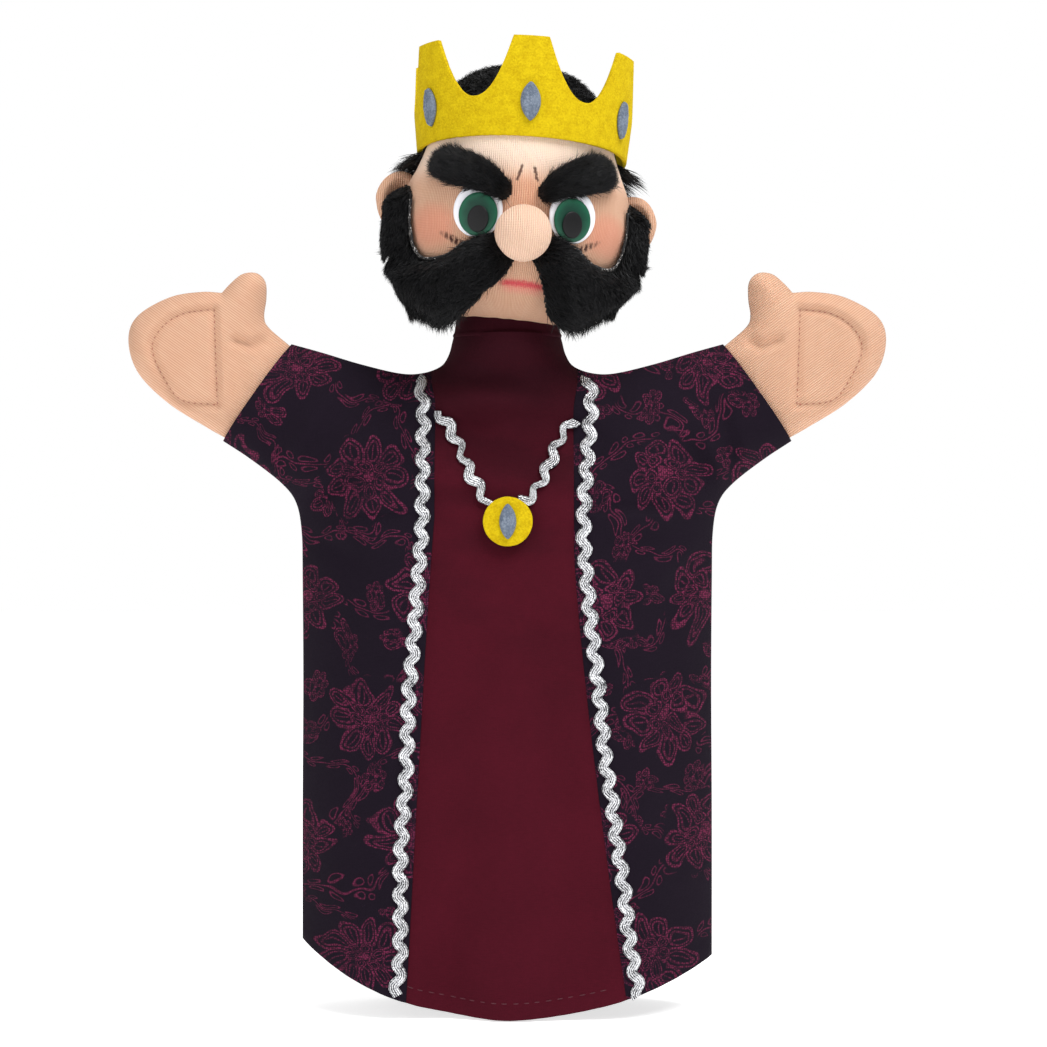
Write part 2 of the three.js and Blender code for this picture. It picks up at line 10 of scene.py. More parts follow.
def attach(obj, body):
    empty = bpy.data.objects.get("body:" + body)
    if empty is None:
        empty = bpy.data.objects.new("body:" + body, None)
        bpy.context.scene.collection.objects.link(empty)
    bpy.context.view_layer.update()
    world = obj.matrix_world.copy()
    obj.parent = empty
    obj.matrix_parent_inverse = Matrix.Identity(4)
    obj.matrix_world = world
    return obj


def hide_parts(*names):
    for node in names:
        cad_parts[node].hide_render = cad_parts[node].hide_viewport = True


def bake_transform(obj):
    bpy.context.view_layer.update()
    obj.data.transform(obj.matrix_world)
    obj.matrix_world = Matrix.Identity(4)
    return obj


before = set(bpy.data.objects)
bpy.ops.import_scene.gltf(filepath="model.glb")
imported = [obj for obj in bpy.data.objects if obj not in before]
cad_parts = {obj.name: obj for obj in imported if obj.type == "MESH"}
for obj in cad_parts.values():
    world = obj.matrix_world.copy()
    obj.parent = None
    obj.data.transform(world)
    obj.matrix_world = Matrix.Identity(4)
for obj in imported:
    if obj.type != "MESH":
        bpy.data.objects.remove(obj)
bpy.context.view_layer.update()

MM = 0.001
TAU = 2 * math.pi
SIDES = (("left", 1), ("right", -1))

# ---------------------------------------------------------------- sizes, in millimetres

CLOTH = 0.8
ARM_X, ARM_Z, ARM_ANGLE = 66.0, 181.0, math.radians(36)
ARM_ALONG = np.array([math.cos(ARM_ANGLE), math.sin(ARM_ANGLE)])
ARM_ACROSS = np.array([-math.sin(ARM_ANGLE), math.cos(ARM_ANGLE)])
NECK_Z = 196.0
LEAN, YAW = math.radians(3.3), math.radians(4.2)
HEAD_DEPTH = 0.95
NOSE_RADIUS, NOSE_Y, NOSE_Z = 8.45, -37.4, 38.6
EYE_X, EYE_Z = 14.1, 46.5
EAR_X, EAR_Y, EAR_Z, EAR_WIDE, EAR_TALL = 36.0, 4.6, 48.8, 7.6, 9.0
CROWN_Z, CROWN_RADIUS, CROWN_FLARE = 64.9, 32.3, 3.0
CROWN_BAND, CROWN_PEAK, CROWN_POINTS = 11.9, 29.8, 6
CROWN_TIP, CROWN_TILT = math.radians(8.9), math.radians(6)
BRAID_PITCH, BRAID_SWING, BRAID_HALF = 6.9, 1.0, 1.5
FELT, BAND_CLOTH, HAND_CLOTH = 1.35, 1.1, 0.6
WHISKER_HAIRS, BROW_HAIRS, HAIR_HAIRS = 38000, 14000, 38000
SHOULDER_BEND, WRIST_BEND = (-20, 7), (12.8, 20.8)

# ---------------------------------------------------------------- numbers


def clamp01(v):
    return np.clip(v, 0, 1)


def smooth(v):
    v = clamp01(v)
    return v * v * (3 - 2 * v)


def mix(a, b, t):
    return a + (b - a) * t


def along(x, rows):
    """Value at x, easing from one row (x, value) to the next."""
    xs, ys = np.array(rows, float).T
    x = np.clip(x, xs[0], xs[-1])
    i = np.clip(np.searchsorted(xs, x) - 1, 0, len(xs) - 2)
    return mix(ys[i], ys[i + 1], smooth((x - xs[i]) / (xs[i + 1] - xs[i])))


def cols(*columns):
    """Columns side by side, each broadcast to their common shape."""
    return np.stack(np.broadcast_arrays(*columns), -1)


def circle(count):
    return np.arange(count) / count * TAU


def bell(v):
    return np.exp(-(v**2))


def unit(v):
    return v / np.maximum(np.linalg.norm(v, axis=-1, keepdims=True), 1e-9)


def noise(points, scale, seed=0):
    """Smooth value noise from -1 to 1, with features about scale in size."""
    p = np.asarray(points, float) / scale
    cell = np.floor(p).astype(np.int64)
    f = p - cell
    f = f * f * (3 - 2 * f)
    keys = np.array([374761393, 668265263, 974634777])[: p.shape[1]]
    total = np.zeros(len(p))
    for corner in np.ndindex(*(2,) * p.shape[1]):
        h = ((cell + corner) * keys).sum(1) + seed * 9176141
        h = (h ^ (h >> 13)) * 1274126177
        h = ((h ^ (h >> 16)) & 0xFFFF) / 65535
        total += h * np.prod(np.where(corner, f, 1 - f), axis=1)
    return total * 2 - 1


def spline(points, step=1.5):
    """A smooth curve through the points."""
    p = np.asarray(points, float)
    q = np.vstack([2 * p[0] - p[1], p, 2 * p[-1] - p[-2]])
    out = []
    for i in range(len(p) - 1):
        a, b, c, d = q[i : i + 4]
        t = np.linspace(0, 1, 12, endpoint=False)[:, None]
        out.append(0.5 * (2 * b + (c - a) * t + (2 * a - 5 * b + 4 * c - d) * t**2
                          + (3 * b - a - 3 * c + d) * t**3))
    return resample(np.vstack([*out, p[-1:]]), step)


def resample(curve, step):
    """The same polyline with even steps."""
    s = np.r_[0, np.cumsum(np.linalg.norm(np.diff(curve, axis=0), axis=1))]
    at = np.linspace(0, s[-1], max(2, round(s[-1] / step) + 1))
    return np.stack([np.interp(at, s, curve[:, k]) for k in range(curve.shape[1])], 1)


def closed(outline):
    return np.vstack([outline, outline[:1]])


def distance(points, line):
    """Distance from each point in a plane to a polyline."""
    best = np.full(len(points), 1e9)
    for a, b in zip(line[:-1], line[1:]):
        ab = b - a
        t = np.clip((points - a) @ ab / (ab @ ab + 1e-12), 0, 1)
        best = np.minimum(best, np.linalg.norm(points - a - t[:, None] * ab, axis=1))
    return best


def inside(points, outline):
    """Which points of a plane lie within a closed outline."""
    x, y = points.T
    odd = np.zeros(len(points), bool)
    for (x0, y0), (x1, y1) in zip(outline, np.roll(outline, -1, 0)):
        crosses = (y0 > y) != (y1 > y)
        odd ^= crosses & (x < x0 + (y - y0) * (x1 - x0) / (y1 - y0 + 1e-12))
    return odd


def fill(outline, step, rings=()):
    """Even triangles inside a closed outline, with extra rows of points near its edge."""
    low, high = outline.min(0), outline.max(0)
    rows = []
    for i, y in enumerate(np.arange(low[1], high[1], step * 0.866)):
        xs = np.arange(low[0] + (i % 2) * step / 2, high[0], step)
        rows.append(cols(xs, y))
    points = np.vstack(rows)
    loop = closed(outline)
    clear = (max(rings) + 0.55 * step) if rings else 0.6 * step
    points = points[inside(points, outline)]
    points = points[distance(points, loop) > clear]
    area = np.sum(outline[:, 0] * np.roll(outline[:, 1], -1)
                  - np.roll(outline[:, 0], -1) * outline[:, 1])
    tangent = unit(np.roll(outline, -1, 0) - np.roll(outline, 1, 0))
    inward = cols(-tangent[:, 1], tangent[:, 0]) * np.sign(area)
    extra = []
    for ring in rings:
        moved = outline + inward * ring
        moved = moved[inside(moved, outline)]
        extra.append(moved[distance(moved, loop) > ring * 0.9])
    every = np.vstack([outline, *extra, points])
    edges = [(i, (i + 1) % len(outline)) for i in range(len(outline))]
    vertices, _, faces, *_ = delaunay_2d_cdt([Vector(p) for p in every], edges, [], 1, 1e-5)
    vertices = np.array([tuple(v) for v in vertices])
    faces = np.array([tuple(f) for f in faces if len(f) == 3])
    a, b, c = (vertices[faces[:, k]] for k in range(3))
    turn = (b[:, 0] - a[:, 0]) * (c[:, 1] - a[:, 1]) - (b[:, 1] - a[:, 1]) * (c[:, 0] - a[:, 0])
    faces[turn < 0] = faces[turn < 0][:, ::-1]
    return vertices, faces[abs(turn) > 1e-6]


# ---------------------------------------------------------------- meshes


def build(name, points, faces, material, **attributes):
    """A smooth mesh object from points in millimetres."""
    mesh = bpy.data.meshes.new(name)
    faces = faces.tolist() if isinstance(faces, np.ndarray) else faces
    mesh.from_pydata((np.asarray(points, float) * MM).tolist(), [], faces)
    for key, values in attributes.items():
        values = np.asarray(values, float)
        vector = values.ndim == 2
        layer = mesh.attributes.new(key, "FLOAT_VECTOR" if vector else "FLOAT", "POINT")
        layer.data.foreach_set("vector" if vector else "value", values.ravel())
    mesh.materials.append(material)
    mesh.shade_smooth()
    thing = bpy.data.objects.new(name, mesh)
    bpy.context.scene.collection.objects.link(thing)
    return thing


def settle(thing):
    """Keeps what the modifiers made."""
    graph = bpy.context.evaluated_depsgraph_get()
    mesh = bpy.data.meshes.new_from_object(
        thing.evaluated_get(graph), preserve_all_data_layers=True, depsgraph=graph)
    thing.modifiers.clear()
    thing.data = mesh
    return thing


def thicken(thing, thickness, offset=-1.0):
    solid = thing.modifiers.new("thickness", "SOLIDIFY")
    solid.thickness = thickness * MM
    solid.offset = offset
    solid.use_even_offset = False
    return settle(thing)


def grid_faces(rows, columns, wrap=False):
    """Quads over a grid of points stored row by row."""
    across = columns if wrap else columns - 1
    i, j = np.meshgrid(np.arange(rows - 1), np.arange(across), indexing="ij")
    right = (j + 1) % columns
    quads = [i * columns + j, i * columns + right, (i + 1) * columns + right, (i + 1) * columns + j]
    return np.stack([q.ravel() for q in quads], 1)


def join_parts(parts):
    """Several (points, faces) as one."""
    points, faces, start = [], [], 0
    for p, f in parts:
        points.append(p)
        faces.extend((np.asarray(f) + start).tolist())
        start += len(p)
    return np.vstack(points), faces


def area_of(thing):
    return sum(face.area for face in thing.data.polygons)


def settle_on(thing, body, slot, *nodes):
    """The piece moves with the body and stands for the CAD nodes; slot is not used."""
    if nodes:
        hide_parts(*nodes)
    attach(thing, body)
    return thing


# ---------------------------------------------------------------- shader arithmetic


def feed(tree, place, item):
    """Sets an input, or links it where the item comes from another node."""
    if isinstance(item, Value):
        tree.links.new(item.socket, place)
    elif item is not None:
        place.default_value = item


class Value:
    """A number in a shader: arithmetic on it adds Math nodes."""

    def __init__(self, tree, socket):
        self.tree = tree
        self.socket = socket

    def op(self, kind, *others):
        node = self.tree.nodes.new("ShaderNodeMath")
        node.operation = kind
        for place, item in zip(node.inputs, (self, *others)):
            feed(self.tree, place, item)
        return Value(self.tree, node.outputs[0])

    def __add__(self, other):
        return self.op("ADD", other)

    def __sub__(self, other):
        return self.op("SUBTRACT", other)

    def __mul__(self, other):
        return self.op("MULTIPLY", other)

    def __truediv__(self, other):
        return self.op("DIVIDE", other)

    def __abs__(self):
        return self.op("ABSOLUTE")

    def fade(self, start, end):
        """0 at start, 1 at end, smoothly."""
        node = self.tree.nodes.new("ShaderNodeMapRange")
        node.interpolation_type = "SMOOTHSTEP"
        feed(self.tree, node.inputs["Value"], self)
        low, high, back = (start, end, False) if start < end else (end, start, True)
        node.inputs["From Min"].default_value = low
        node.inputs["From Max"].default_value = high
        node.inputs["To Min"].default_value = 1.0 if back else 0.0
        node.inputs["To Max"].default_value = 0.0 if back else 1.0
        return Value(self.tree, node.outputs["Result"])


class Paint:
    """A node material under construction."""

    def __init__(self, name):
        self.material = bpy.data.materials.new(name)
        self.material.use_nodes = True
        self.tree = self.material.node_tree

    def fill(self, node, inputs):
        for key, item in inputs.items():
            feed(self.tree, node.inputs[key.replace("_", " ")], item)
        return node

    def add(self, kind, output=0, **inputs):
        """One output of a new node."""
        node = self.fill(self.tree.nodes.new("ShaderNode" + kind), inputs)
        return Value(self.tree, node.outputs[output])

    def place(self, name="flat", output="Vector"):
        """What the mesh keeps at each point: coordinates in millimetres, or one number."""
        node = self.tree.nodes.new("ShaderNodeAttribute")
        node.attribute_name = name
        return Value(self.tree, node.outputs[output])

    def split(self, vector):
        return [self.add("SeparateXYZ", axis, Vector=vector) for axis in range(3)]

    def merge(self, x=0.0, y=0.0, z=0.0):
        return self.add("CombineXYZ", X=x, Y=y, Z=z)

    def noise(self, vector, size, detail=2.0, roughness=0.5):
        return self.add("TexNoise", Vector=vector, Scale=1 / size, Detail=detail,
                        Roughness=roughness)

    def cells(self, vector, size, randomness=1.0):
        return self.add("TexVoronoi", "Distance", Vector=vector, Scale=1 / size,
                        Randomness=randomness)

    def blend(self, amount, first, second):
        """From one colour to another."""
        node = self.tree.nodes.new("ShaderNodeMix")
        node.data_type = "RGBA"
        for place, item in zip((0, 6, 7), (amount, first, second)):
            feed(self.tree, node.inputs[place], item)
        return Value(self.tree, node.outputs[2])

    def bump(self, height, depth, strength=1.0, before=None):
        return self.add("Bump", Height=height, Distance=depth * MM, Strength=strength,
                        Normal=before)

    def finish(self, **inputs):
        self.fill(self.tree.nodes["Principled BSDF"], inputs)
        return self.material


def rgb(r, g, b):
    """A shader colour from 0-255 screen values."""
    line = [c / 255 for c in (r, g, b)]
    return (*[c / 12.92 if c <= 0.04045 else ((c + 0.055) / 1.055) ** 2.4 for c in line], 1.0)


# ---------------------------------------------------------------- materials

WEAVE_PITCH, RIB_PITCH, LOOP_PITCH, STRAND_PITCH = 0.46, 0.66, 0.5, 0.66
WANDER = 13.0
BLOSSOM_WIDE, BLOSSOM_TALL, BLOSSOM_RADIUS, BLOSSOM_PETALS = 38.0, 36.0, 13.0, 9
BUD_WIDE, BUD_TALL, BUD_RADIUS, BUD_PETALS, BUD_SHIFT = 15.5, 14.0, 4.4, 6, 0.37
LEAF_SPACING, LEAF_LONG, LEAF_OFF = 5.6, 1.9, 1.7
CHEEK_X, CHEEK_Z, MOUTH_X, MOUTH_Z = 26.5, 40.5, 1.5, 24.5
FROWN = ((-0.9, 59.6), (-2.4, 54.6)), ((2.6, 59.2), (3.7, 54.6))
# Colour of the painted highlight on the skin.
HIGHLIGHT_SKIN = rgb(255, 238, 220)


def make_cotton(name, dark, light, tint, print_colour=None):
    paint = Paint(name)
    flat = paint.place()
    x, _, z = paint.split(flat)
    mottle = paint.noise(flat, 22, 3)
    thread = paint.noise(paint.merge(x * 0.35, z * 2.4), 0.9, 2)
    tone = mottle * 0.55 + thread * 0.45
    colour = paint.blend(tone, dark, light)
    if print_colour:
        ink = floral(paint, flat)
        worn = paint.noise(flat, 9, 2).fade(0.3, 0.62) * 0.4 + 0.6
        colour = paint.blend(ink * worn, colour, print_colour)
    else:
        fold = paint.noise(paint.merge(x * 0.5 + z * 0.35, z * 1.1), 17, 2, 0.4)
        shade = fold.fade(0.42, 0.62) * z.fade(60, 165) * 0.3
        colour = paint.blend(shade, colour, rgb(30, 4, 12))
        # Darker towards the neck: painted shadow of the head on the collar and chest.
        colour = paint.blend(z.fade(150, 198) * 0.62, colour, rgb(24, 5, 12))
    weave = (x * (TAU / WEAVE_PITCH)).op("SINE") * (z * (TAU / WEAVE_PITCH)).op("SINE")
    crumple = paint.noise(flat, 4.5, 3, 0.6)
    normal = paint.bump(crumple, 0.5, 0.5)
    normal = paint.bump(weave, 0.03, 0.6, normal)
    return paint.finish(Base_Color=colour, Roughness=0.88, Normal=normal, Sheen_Weight=0.04,
                        Sheen_Roughness=0.5, Sheen_Tint=tint, Specular_IOR_Level=0.1)


def petal_ring(r, angle, petals, reach, long, wide):
    """Doubled outlines of a ring of oval petals: 1 on a line."""
    share = (angle * (petals / TAU)).op("FRACT") - 0.5
    off = share * (TAU / petals)
    px = (r * off.op("COSINE") - reach) / long
    pz = (r * off.op("SINE")) / wide
    oval = (px * px + pz * pz).op("SQRT")
    rim = abs(oval - 0.89).fade(0.13, 0.06)
    line = abs(oval - 0.56).fade(0.12, 0.05)
    vein = abs(pz).fade(0.1, 0.03) * oval.fade(0.42, 0.36)
    return rim.op("MAXIMUM", line * 0.8).op("MAXIMUM", vein * 0.7)


def flower(x, z, radius, petals, turn):
    """Stippled outlines of a many-petalled blossom about the origin."""
    r = (x * x + z * z).op("SQRT")
    angle = z.op("ARCTAN2", x) + turn + 10.0
    outer = petal_ring(r, angle, petals, 0.66 * radius, 0.34 * radius, 2.1 * radius / petals)
    inner = petal_ring(r, angle + 0.5, petals - 3, 0.33 * radius, 0.17 * radius, 0.16 * radius)
    outer = outer * r.fade(0.42 * radius, 0.48 * radius)
    heart = r.fade(0.16 * radius, 0.13 * radius)
    return outer.op("MAXIMUM", inner).op("MAXIMUM", heart)


def cell_of(paint, x, z, wide, tall, shift):
    """Position inside a staggered repeat, and a random number for each repeat."""
    row = (z / tall + shift).op("FLOOR")
    stagger = row.op("MODULO", 2.0) * 0.5 + shift
    column = (x / wide + stagger).op("FLOOR")
    luck = paint.add("TexWhiteNoise", "Value", Vector=paint.merge(column, row, shift))
    local_x = (x / wide + stagger - column - 0.5) * wide
    local_z = (z / tall + shift - row - 0.5) * tall
    return local_x, local_z, luck


def trailing_stem(x, z, slope, spacing, swing, period):
    """A wavy stem with pairs of leaf outlines along it."""
    u = x + z * slope
    v = z - x * slope
    side = ((v / spacing).op("FRACT") - 0.5) * spacing + (u * (TAU / period)).op("SINE") * swing
    stem = abs(side).fade(0.34, 0.14)
    lx = ((u / LEAF_SPACING).op("FRACT") - 0.5) * LEAF_SPACING - abs(side) * 0.6
    lx = lx / LEAF_LONG
    lz = abs(side) - LEAF_OFF
    leaf = (lx * lx + lz * lz).op("SQRT")
    return stem.op("MAXIMUM", abs(leaf - 0.85).fade(0.24, 0.1))


def floral(paint, flat):
    """Large and small dotted blossoms on thin trailing stems."""
    wander = paint.noise(flat, WANDER, 1)
    x, y, z = paint.split(flat)
    elsewhere = paint.merge(x + 37.0, y + 11.0, z + 53.0)
    wander_2 = paint.noise(elsewhere, WANDER, 1)
    x = x + (wander - 0.5) * WANDER
    z = z + (wander_2 - 0.5) * WANDER
    big_x, big_z, luck = cell_of(paint, x, z, BLOSSOM_WIDE, BLOSSOM_TALL, 0.0)
    big_x = big_x + (luck - 0.5) * 8
    large = flower(big_x, big_z, BLOSSOM_RADIUS, BLOSSOM_PETALS, luck * TAU)
    away = (big_x * big_x + big_z * big_z).op("SQRT").fade(BLOSSOM_RADIUS + 0.5, BLOSSOM_RADIUS + 1.5)
    small_x, small_z, luck_2 = cell_of(paint, x, z, BUD_WIDE, BUD_TALL, BUD_SHIFT)
    small_x = small_x + (luck_2 - 0.5) * 5
    small = flower(small_x, small_z, BUD_RADIUS, BUD_PETALS, luck_2 * TAU) * away
    small = small * luck_2.fade(0.35, 0.4)
    clear = (small_x * small_x + small_z * small_z).op("SQRT").fade(BUD_RADIUS - 0.8, BUD_RADIUS)
    clear = clear.op("MAXIMUM", luck_2.fade(0.4, 0.35))
    stems = trailing_stem(x, z, 0.45, 27.0, 4.6, 46.0)
    stems = stems.op("MAXIMUM", trailing_stem(x, z, -0.8, 41.0, 5.0, 37.0)) * away * clear
    dots = paint.cells(flat, 0.62, 0.5).fade(0.58, 0.3)
    stippled = large.op("MAXIMUM", small) * (dots * 0.85 + 0.15)
    return stippled.op("MAXIMUM", stems * (dots * 0.5 + 0.3))


def make_jersey(name, face=False, pale=0.0):
    """Fine stretch knit in a skin colour: its ribs run along the kept height."""
    paint = Paint(name)
    flat = paint.place()
    x, _, z = paint.split(flat)
    rib = (x * (TAU / RIB_PITCH)).op("COSINE")
    loop = (z * (TAU / LOOP_PITCH)).op("SINE")
    tone = paint.noise(flat, 14, 3)
    streak = paint.noise(paint.merge(x, z * 0.12), 0.9, 2)
    colour = paint.blend(tone * 0.5 + streak * 0.5, rgb(203, 153, 125), rgb(226, 191, 164))
    # Darker in the grooves between the ribs: painted shade.
    colour = paint.blend(rib.fade(0.3, -1.0) * 0.75, colour, rgb(184, 128, 98))
    # A lighter copy of the knit, as used for the nose, is painted highlight.
    colour = paint.blend(pale, colour, HIGHLIGHT_SKIN)
    if face:
        colour = make_up(paint, colour)
    normal = paint.bump(rib * 0.75 + loop * 0.25, 0.14, 0.9)
    return paint.finish(Base_Color=colour, Roughness=0.8, Normal=normal, Sheen_Weight=0.2,
                        Sheen_Roughness=0.45, Sheen_Tint=rgb(255, 226, 204),
                        Subsurface_Weight=0.08, Subsurface_Scale=0.002,
                        Subsurface_Radius=(1.0, 0.5, 0.3), Specular_IOR_Level=0.15)


def spot(x, z, at_x, at_z, wide, tall):
    """A soft round patch: 1 in the middle, 0 at the rim."""
    dx, dz = (x - at_x) / wide, (z - at_z) / tall
    return (dx * dx + dz * dz).fade(1.0, 0.0)


def stroke(x, z, start, end, half):
    """A short painted line."""
    (x0, z0), (x1, z1) = start, end
    length = math.hypot(x1 - x0, z1 - z0)
    ux, uz = (x1 - x0) / length, (z1 - z0) / length
    run = (x - x0) * ux + (z - z0) * uz
    side = abs((x - x0) * uz - (z - z0) * ux)
    return side.fade(half, half * 0.2) * run.fade(-0.4, 0.5) * run.fade(length + 0.4, length - 0.5)


def make_up(paint, colour):
    """Painted cheeks, mouth, frown and the creases under the eyes, and a painted highlight on the
    forehead.
    """
    place = paint.place("local")
    x, y, z = paint.split(place)
    front = y.fade(4.0, -2.0)
    fuzz = (paint.noise(place, 0.7, 2) - 0.5) * 1.1
    x, z = x + fuzz, z + fuzz
    # Paler towards the top of the front of the face: painted highlight on the forehead.
    pale = z.fade(53, 63) * front
    colour = paint.blend(pale * 0.62, colour, HIGHLIGHT_SKIN)
    for side in (1, -1):
        blush = spot(x, z, side * CHEEK_X, CHEEK_Z, 9.0, 8.5) * front
        colour = paint.blend(blush * 0.36, colour, rgb(220, 108, 84))
        crease = spot(x, z - abs(x - side * 15.0) * 0.5, side * 19.2, 34.0, 6.0, 1.5) * front
        ticks = (x * (TAU / 1.5)).op("SINE").fade(-0.8, 0.2) * 0.7 + 0.3
        broken = paint.noise(place, 1.3, 2).fade(0.3, 0.5)
        colour = paint.blend(crease * ticks * broken, colour, rgb(64, 30, 26))
    shade = spot(x, z, 0.0, 51.0, 6.5, 8.0) * front
    colour = paint.blend(shade * 0.25, colour, rgb(222, 140, 104))
    for start, end in FROWN:
        line = stroke(x, z, start, end, 0.66) * front
        colour = paint.blend(line * 0.9, colour, rgb(70, 38, 32))
    curve = z + x * 0.05 - MOUTH_Z + (x * x) * 0.006
    lips = abs(curve).fade(1.5, 0.1) * abs(x - MOUTH_X).fade(8.2, 4.4) * front
    colour = paint.blend(lips * 0.95, colour, rgb(186, 24, 50))
    glow = abs(curve + 0.7).fade(3.0, 0.3) * abs(x - MOUTH_X).fade(8.2, 3.4) * front
    return paint.blend(glow * 0.4, colour, rgb(230, 110, 112))


def make_felt(name, dark, light, edge):
    paint = Paint(name)
    flat = paint.place("local")
    blotch = paint.noise(flat, 3.0, 4, 0.62)
    fibre = paint.noise(flat, 0.62, 3, 0.7)
    speck = paint.noise(flat, 1.6, 2, 0.6).fade(0.56, 0.72)
    colour = paint.blend((blotch * 0.42 + fibre * 0.58).fade(0.34, 0.66), dark, light)
    colour = paint.blend(speck * 0.22, colour, edge)
    normal = paint.bump(blotch, 0.35, 0.5)
    normal = paint.bump(fibre, 0.22, 0.8, normal)
    return paint.finish(Base_Color=colour, Roughness=0.93, Normal=normal, Sheen_Weight=0.25,
                        Sheen_Roughness=0.6, Sheen_Tint=light, Specular_IOR_Level=0.1)


def make_plush(name, base, tip, rough):
    paint = Paint(name)
    tall = paint.place("tip", "Fac")
    place = paint.place("local")
    lock = paint.noise(place, 3.0, 2)
    # Lighter towards the hair tips and darkest at the roots: painted highlight on the tips and
    # painted shade deep in the pile.
    colour = paint.blend((tall * 0.6 + lock * 0.4).fade(0.35, 0.95), base, tip)
    normal = paint.bump(paint.noise(place, 0.5, 2), 0.12, 0.6)
    return paint.finish(Base_Color=colour, Roughness=rough, Normal=normal, Sheen_Weight=0.03,
                        Specular_IOR_Level=0.25)


def make_backing():
    """White knitted ground of the plush, seen between dark pile along its cut edge."""
    paint = Paint("plush_backing")
    place = paint.place("local")
    patches = paint.noise(place, 2.2, 2).fade(0.4, 0.56)
    dots = paint.cells(place, 0.62).fade(0.42, 0.26) * patches
    colour = paint.blend(dots, rgb(16, 15, 17), rgb(216, 211, 206))
    normal = paint.bump(dots, 0.15, 0.8)
    return paint.finish(Base_Color=colour, Roughness=0.8, Normal=normal)


def make_silver():
    """Metallic lurex braid: plaited strands with painted shade in the gaps between them, and painted
    glints and reflections in the colour.
    """
    paint = Paint("silver_braid")
    flat = paint.place()
    _, q, _ = paint.split(flat)
    strand = abs((q * (TAU / 2 / STRAND_PITCH)).op("SINE"))
    glitter = paint.noise(flat, 0.42, 2, 0.7)
    patch = paint.noise(flat, 3.2, 2, 0.6)
    painted_glint = paint.cells(flat, 0.5).fade(0.5, 0.2)
    # Bright and dark patches and specks in the colour are painted glints and painted reflection; the
    # darker gaps between strands are painted shade.
    tone = (glitter * 0.9 + patch * 0.6 + strand * 0.3 + painted_glint * 0.2).fade(0.74, 1.16)
    colour = paint.blend(tone, rgb(44, 44, 50), rgb(246, 247, 250))
    height = strand * 0.8 + glitter * 1.2 + painted_glint * 0.4
    normal = paint.bump(height, 0.2, 0.9)
    return paint.finish(Base_Color=colour, Metallic=0.8, Roughness=glitter * 0.3 + 0.24,
                        Normal=normal)


def make_satin(name, colour, second, grain, rough, coat):
    """Smooth printed foil of the eye discs."""
    paint = Paint(name)
    place = paint.place("local")
    tone = paint.noise(place, grain, 3)
    # Lighter towards and along the rim: painted highlight where the disc's edge catches light.
    rim_highlight = paint.place("rim", "Fac")
    mixed = paint.blend((tone * 0.5 + rim_highlight * 0.75).fade(0.25, 1.0), colour, second)
    normal = paint.bump(paint.noise(place, 0.45, 2), 0.02, 0.5)
    return paint.finish(Base_Color=mixed, Roughness=rough, Normal=normal, Coat_Weight=coat,
                        Specular_IOR_Level=0.25, Coat_Roughness=0.25)


def make_plain(name, dark, light, grain, rough):
    """Board or wadding, seen only from inside."""
    paint = Paint(name)
    tone = paint.noise(paint.add("TexCoord", "Object"), grain * MM, 4, 0.6)
    normal = paint.bump(tone, 0.3, 0.6)
    return paint.finish(Base_Color=paint.blend(tone, dark, light), Roughness=rough, Normal=normal)


BURGUNDY = make_cotton("burgundy_cotton", rgb(52, 5, 17), rgb(78, 12, 29), rgb(150, 40, 60))
PRINT = make_cotton("floral_cotton", rgb(16, 10, 20), rgb(26, 17, 29), rgb(80, 60, 90),
                    rgb(108, 36, 66))
FACE = make_jersey("face_jersey", True)
JERSEY = make_jersey("hand_jersey")
# The nose's lighter copy of the knit: painted highlight.
NOSE = make_jersey("nose_jersey", pale=0.24)
YELLOW = make_felt("yellow_felt", rgb(178, 148, 5), rgb(208, 182, 18), rgb(132, 102, 6))
GREY = make_felt("grey_felt", rgb(80, 90, 106), rgb(126, 136, 150), rgb(60, 68, 82))
PLUSH = make_plush("black_plush", rgb(3, 3, 4), rgb(17, 17, 20), 0.55)
BACKING = make_backing()
SILVER = make_silver()
WHITE = make_satin("eye_white", rgb(206, 207, 214), rgb(238, 238, 243), 4.0, 0.45, 0.06)
GREEN = make_satin("eye_green", rgb(8, 52, 39), rgb(20, 86, 62), 3.0, 0.45, 0.05)
BLACK = make_satin("eye_black", rgb(6, 6, 8), rgb(14, 13, 16), 3.0, 0.5, 0.03)
THREAD_PINK = make_plain("pink_thread", rgb(140, 78, 62), rgb(186, 118, 98), 0.4, 0.7)
THREAD_GREY = make_plain("grey_thread", rgb(150, 150, 156), rgb(214, 214, 218), 0.4, 0.6)
THREAD_RED = make_plain("red_thread", rgb(56, 8, 22), rgb(92, 20, 40), 0.4, 0.7)
CARD = make_plain("cardboard", rgb(150, 124, 88), rgb(196, 170, 128), 1.2, 0.85)
WADDING = make_plain("stuffing", rgb(214, 210, 200), rgb(246, 244, 238), 1.5, 0.95)

# ---------------------------------------------------------------- robe

HALF_WIDTH, HEM_FOLD, FOOT_Z, SEAM_TOP_Z = 63.0, 5.0, 3.0, 192.0
EDGE_STEP, THIN, LEAST = 1.5, 0.15, 0.25
BELLY = [(0, 23), (60, 24.5), (120, 24.5), (150, 22), (175, 18.5), (196, 15.5)]
ARM_DEPTH = [(-21, 11.0), (13, 8.9)]
ARMPIT_X, ARMPIT_Z = 71.0, 152.0
UNDERARM = spline([(87.5, 174.0), (79, 168.4), (69.5, 161), (65, 155), (63.3, 146), (63, 132),
                   (62.8, 100), (63, 60), (63, 10)])
SHOULDER = spline([(66.4, 203.8), (57, 201.2), (45, 197.6), (33, 194.8), (26, 194.9),
                   (20.4, 197), (18, 200.5), (16.9, 204.5), (16.0, 208), (15.3, 212.6)], 1.0)
NECK_HALF, NECK_SEAM_Z, COLLAR_FOLD, COLLAR_TOP = 20.4, 191.0, 207.2, 212.6
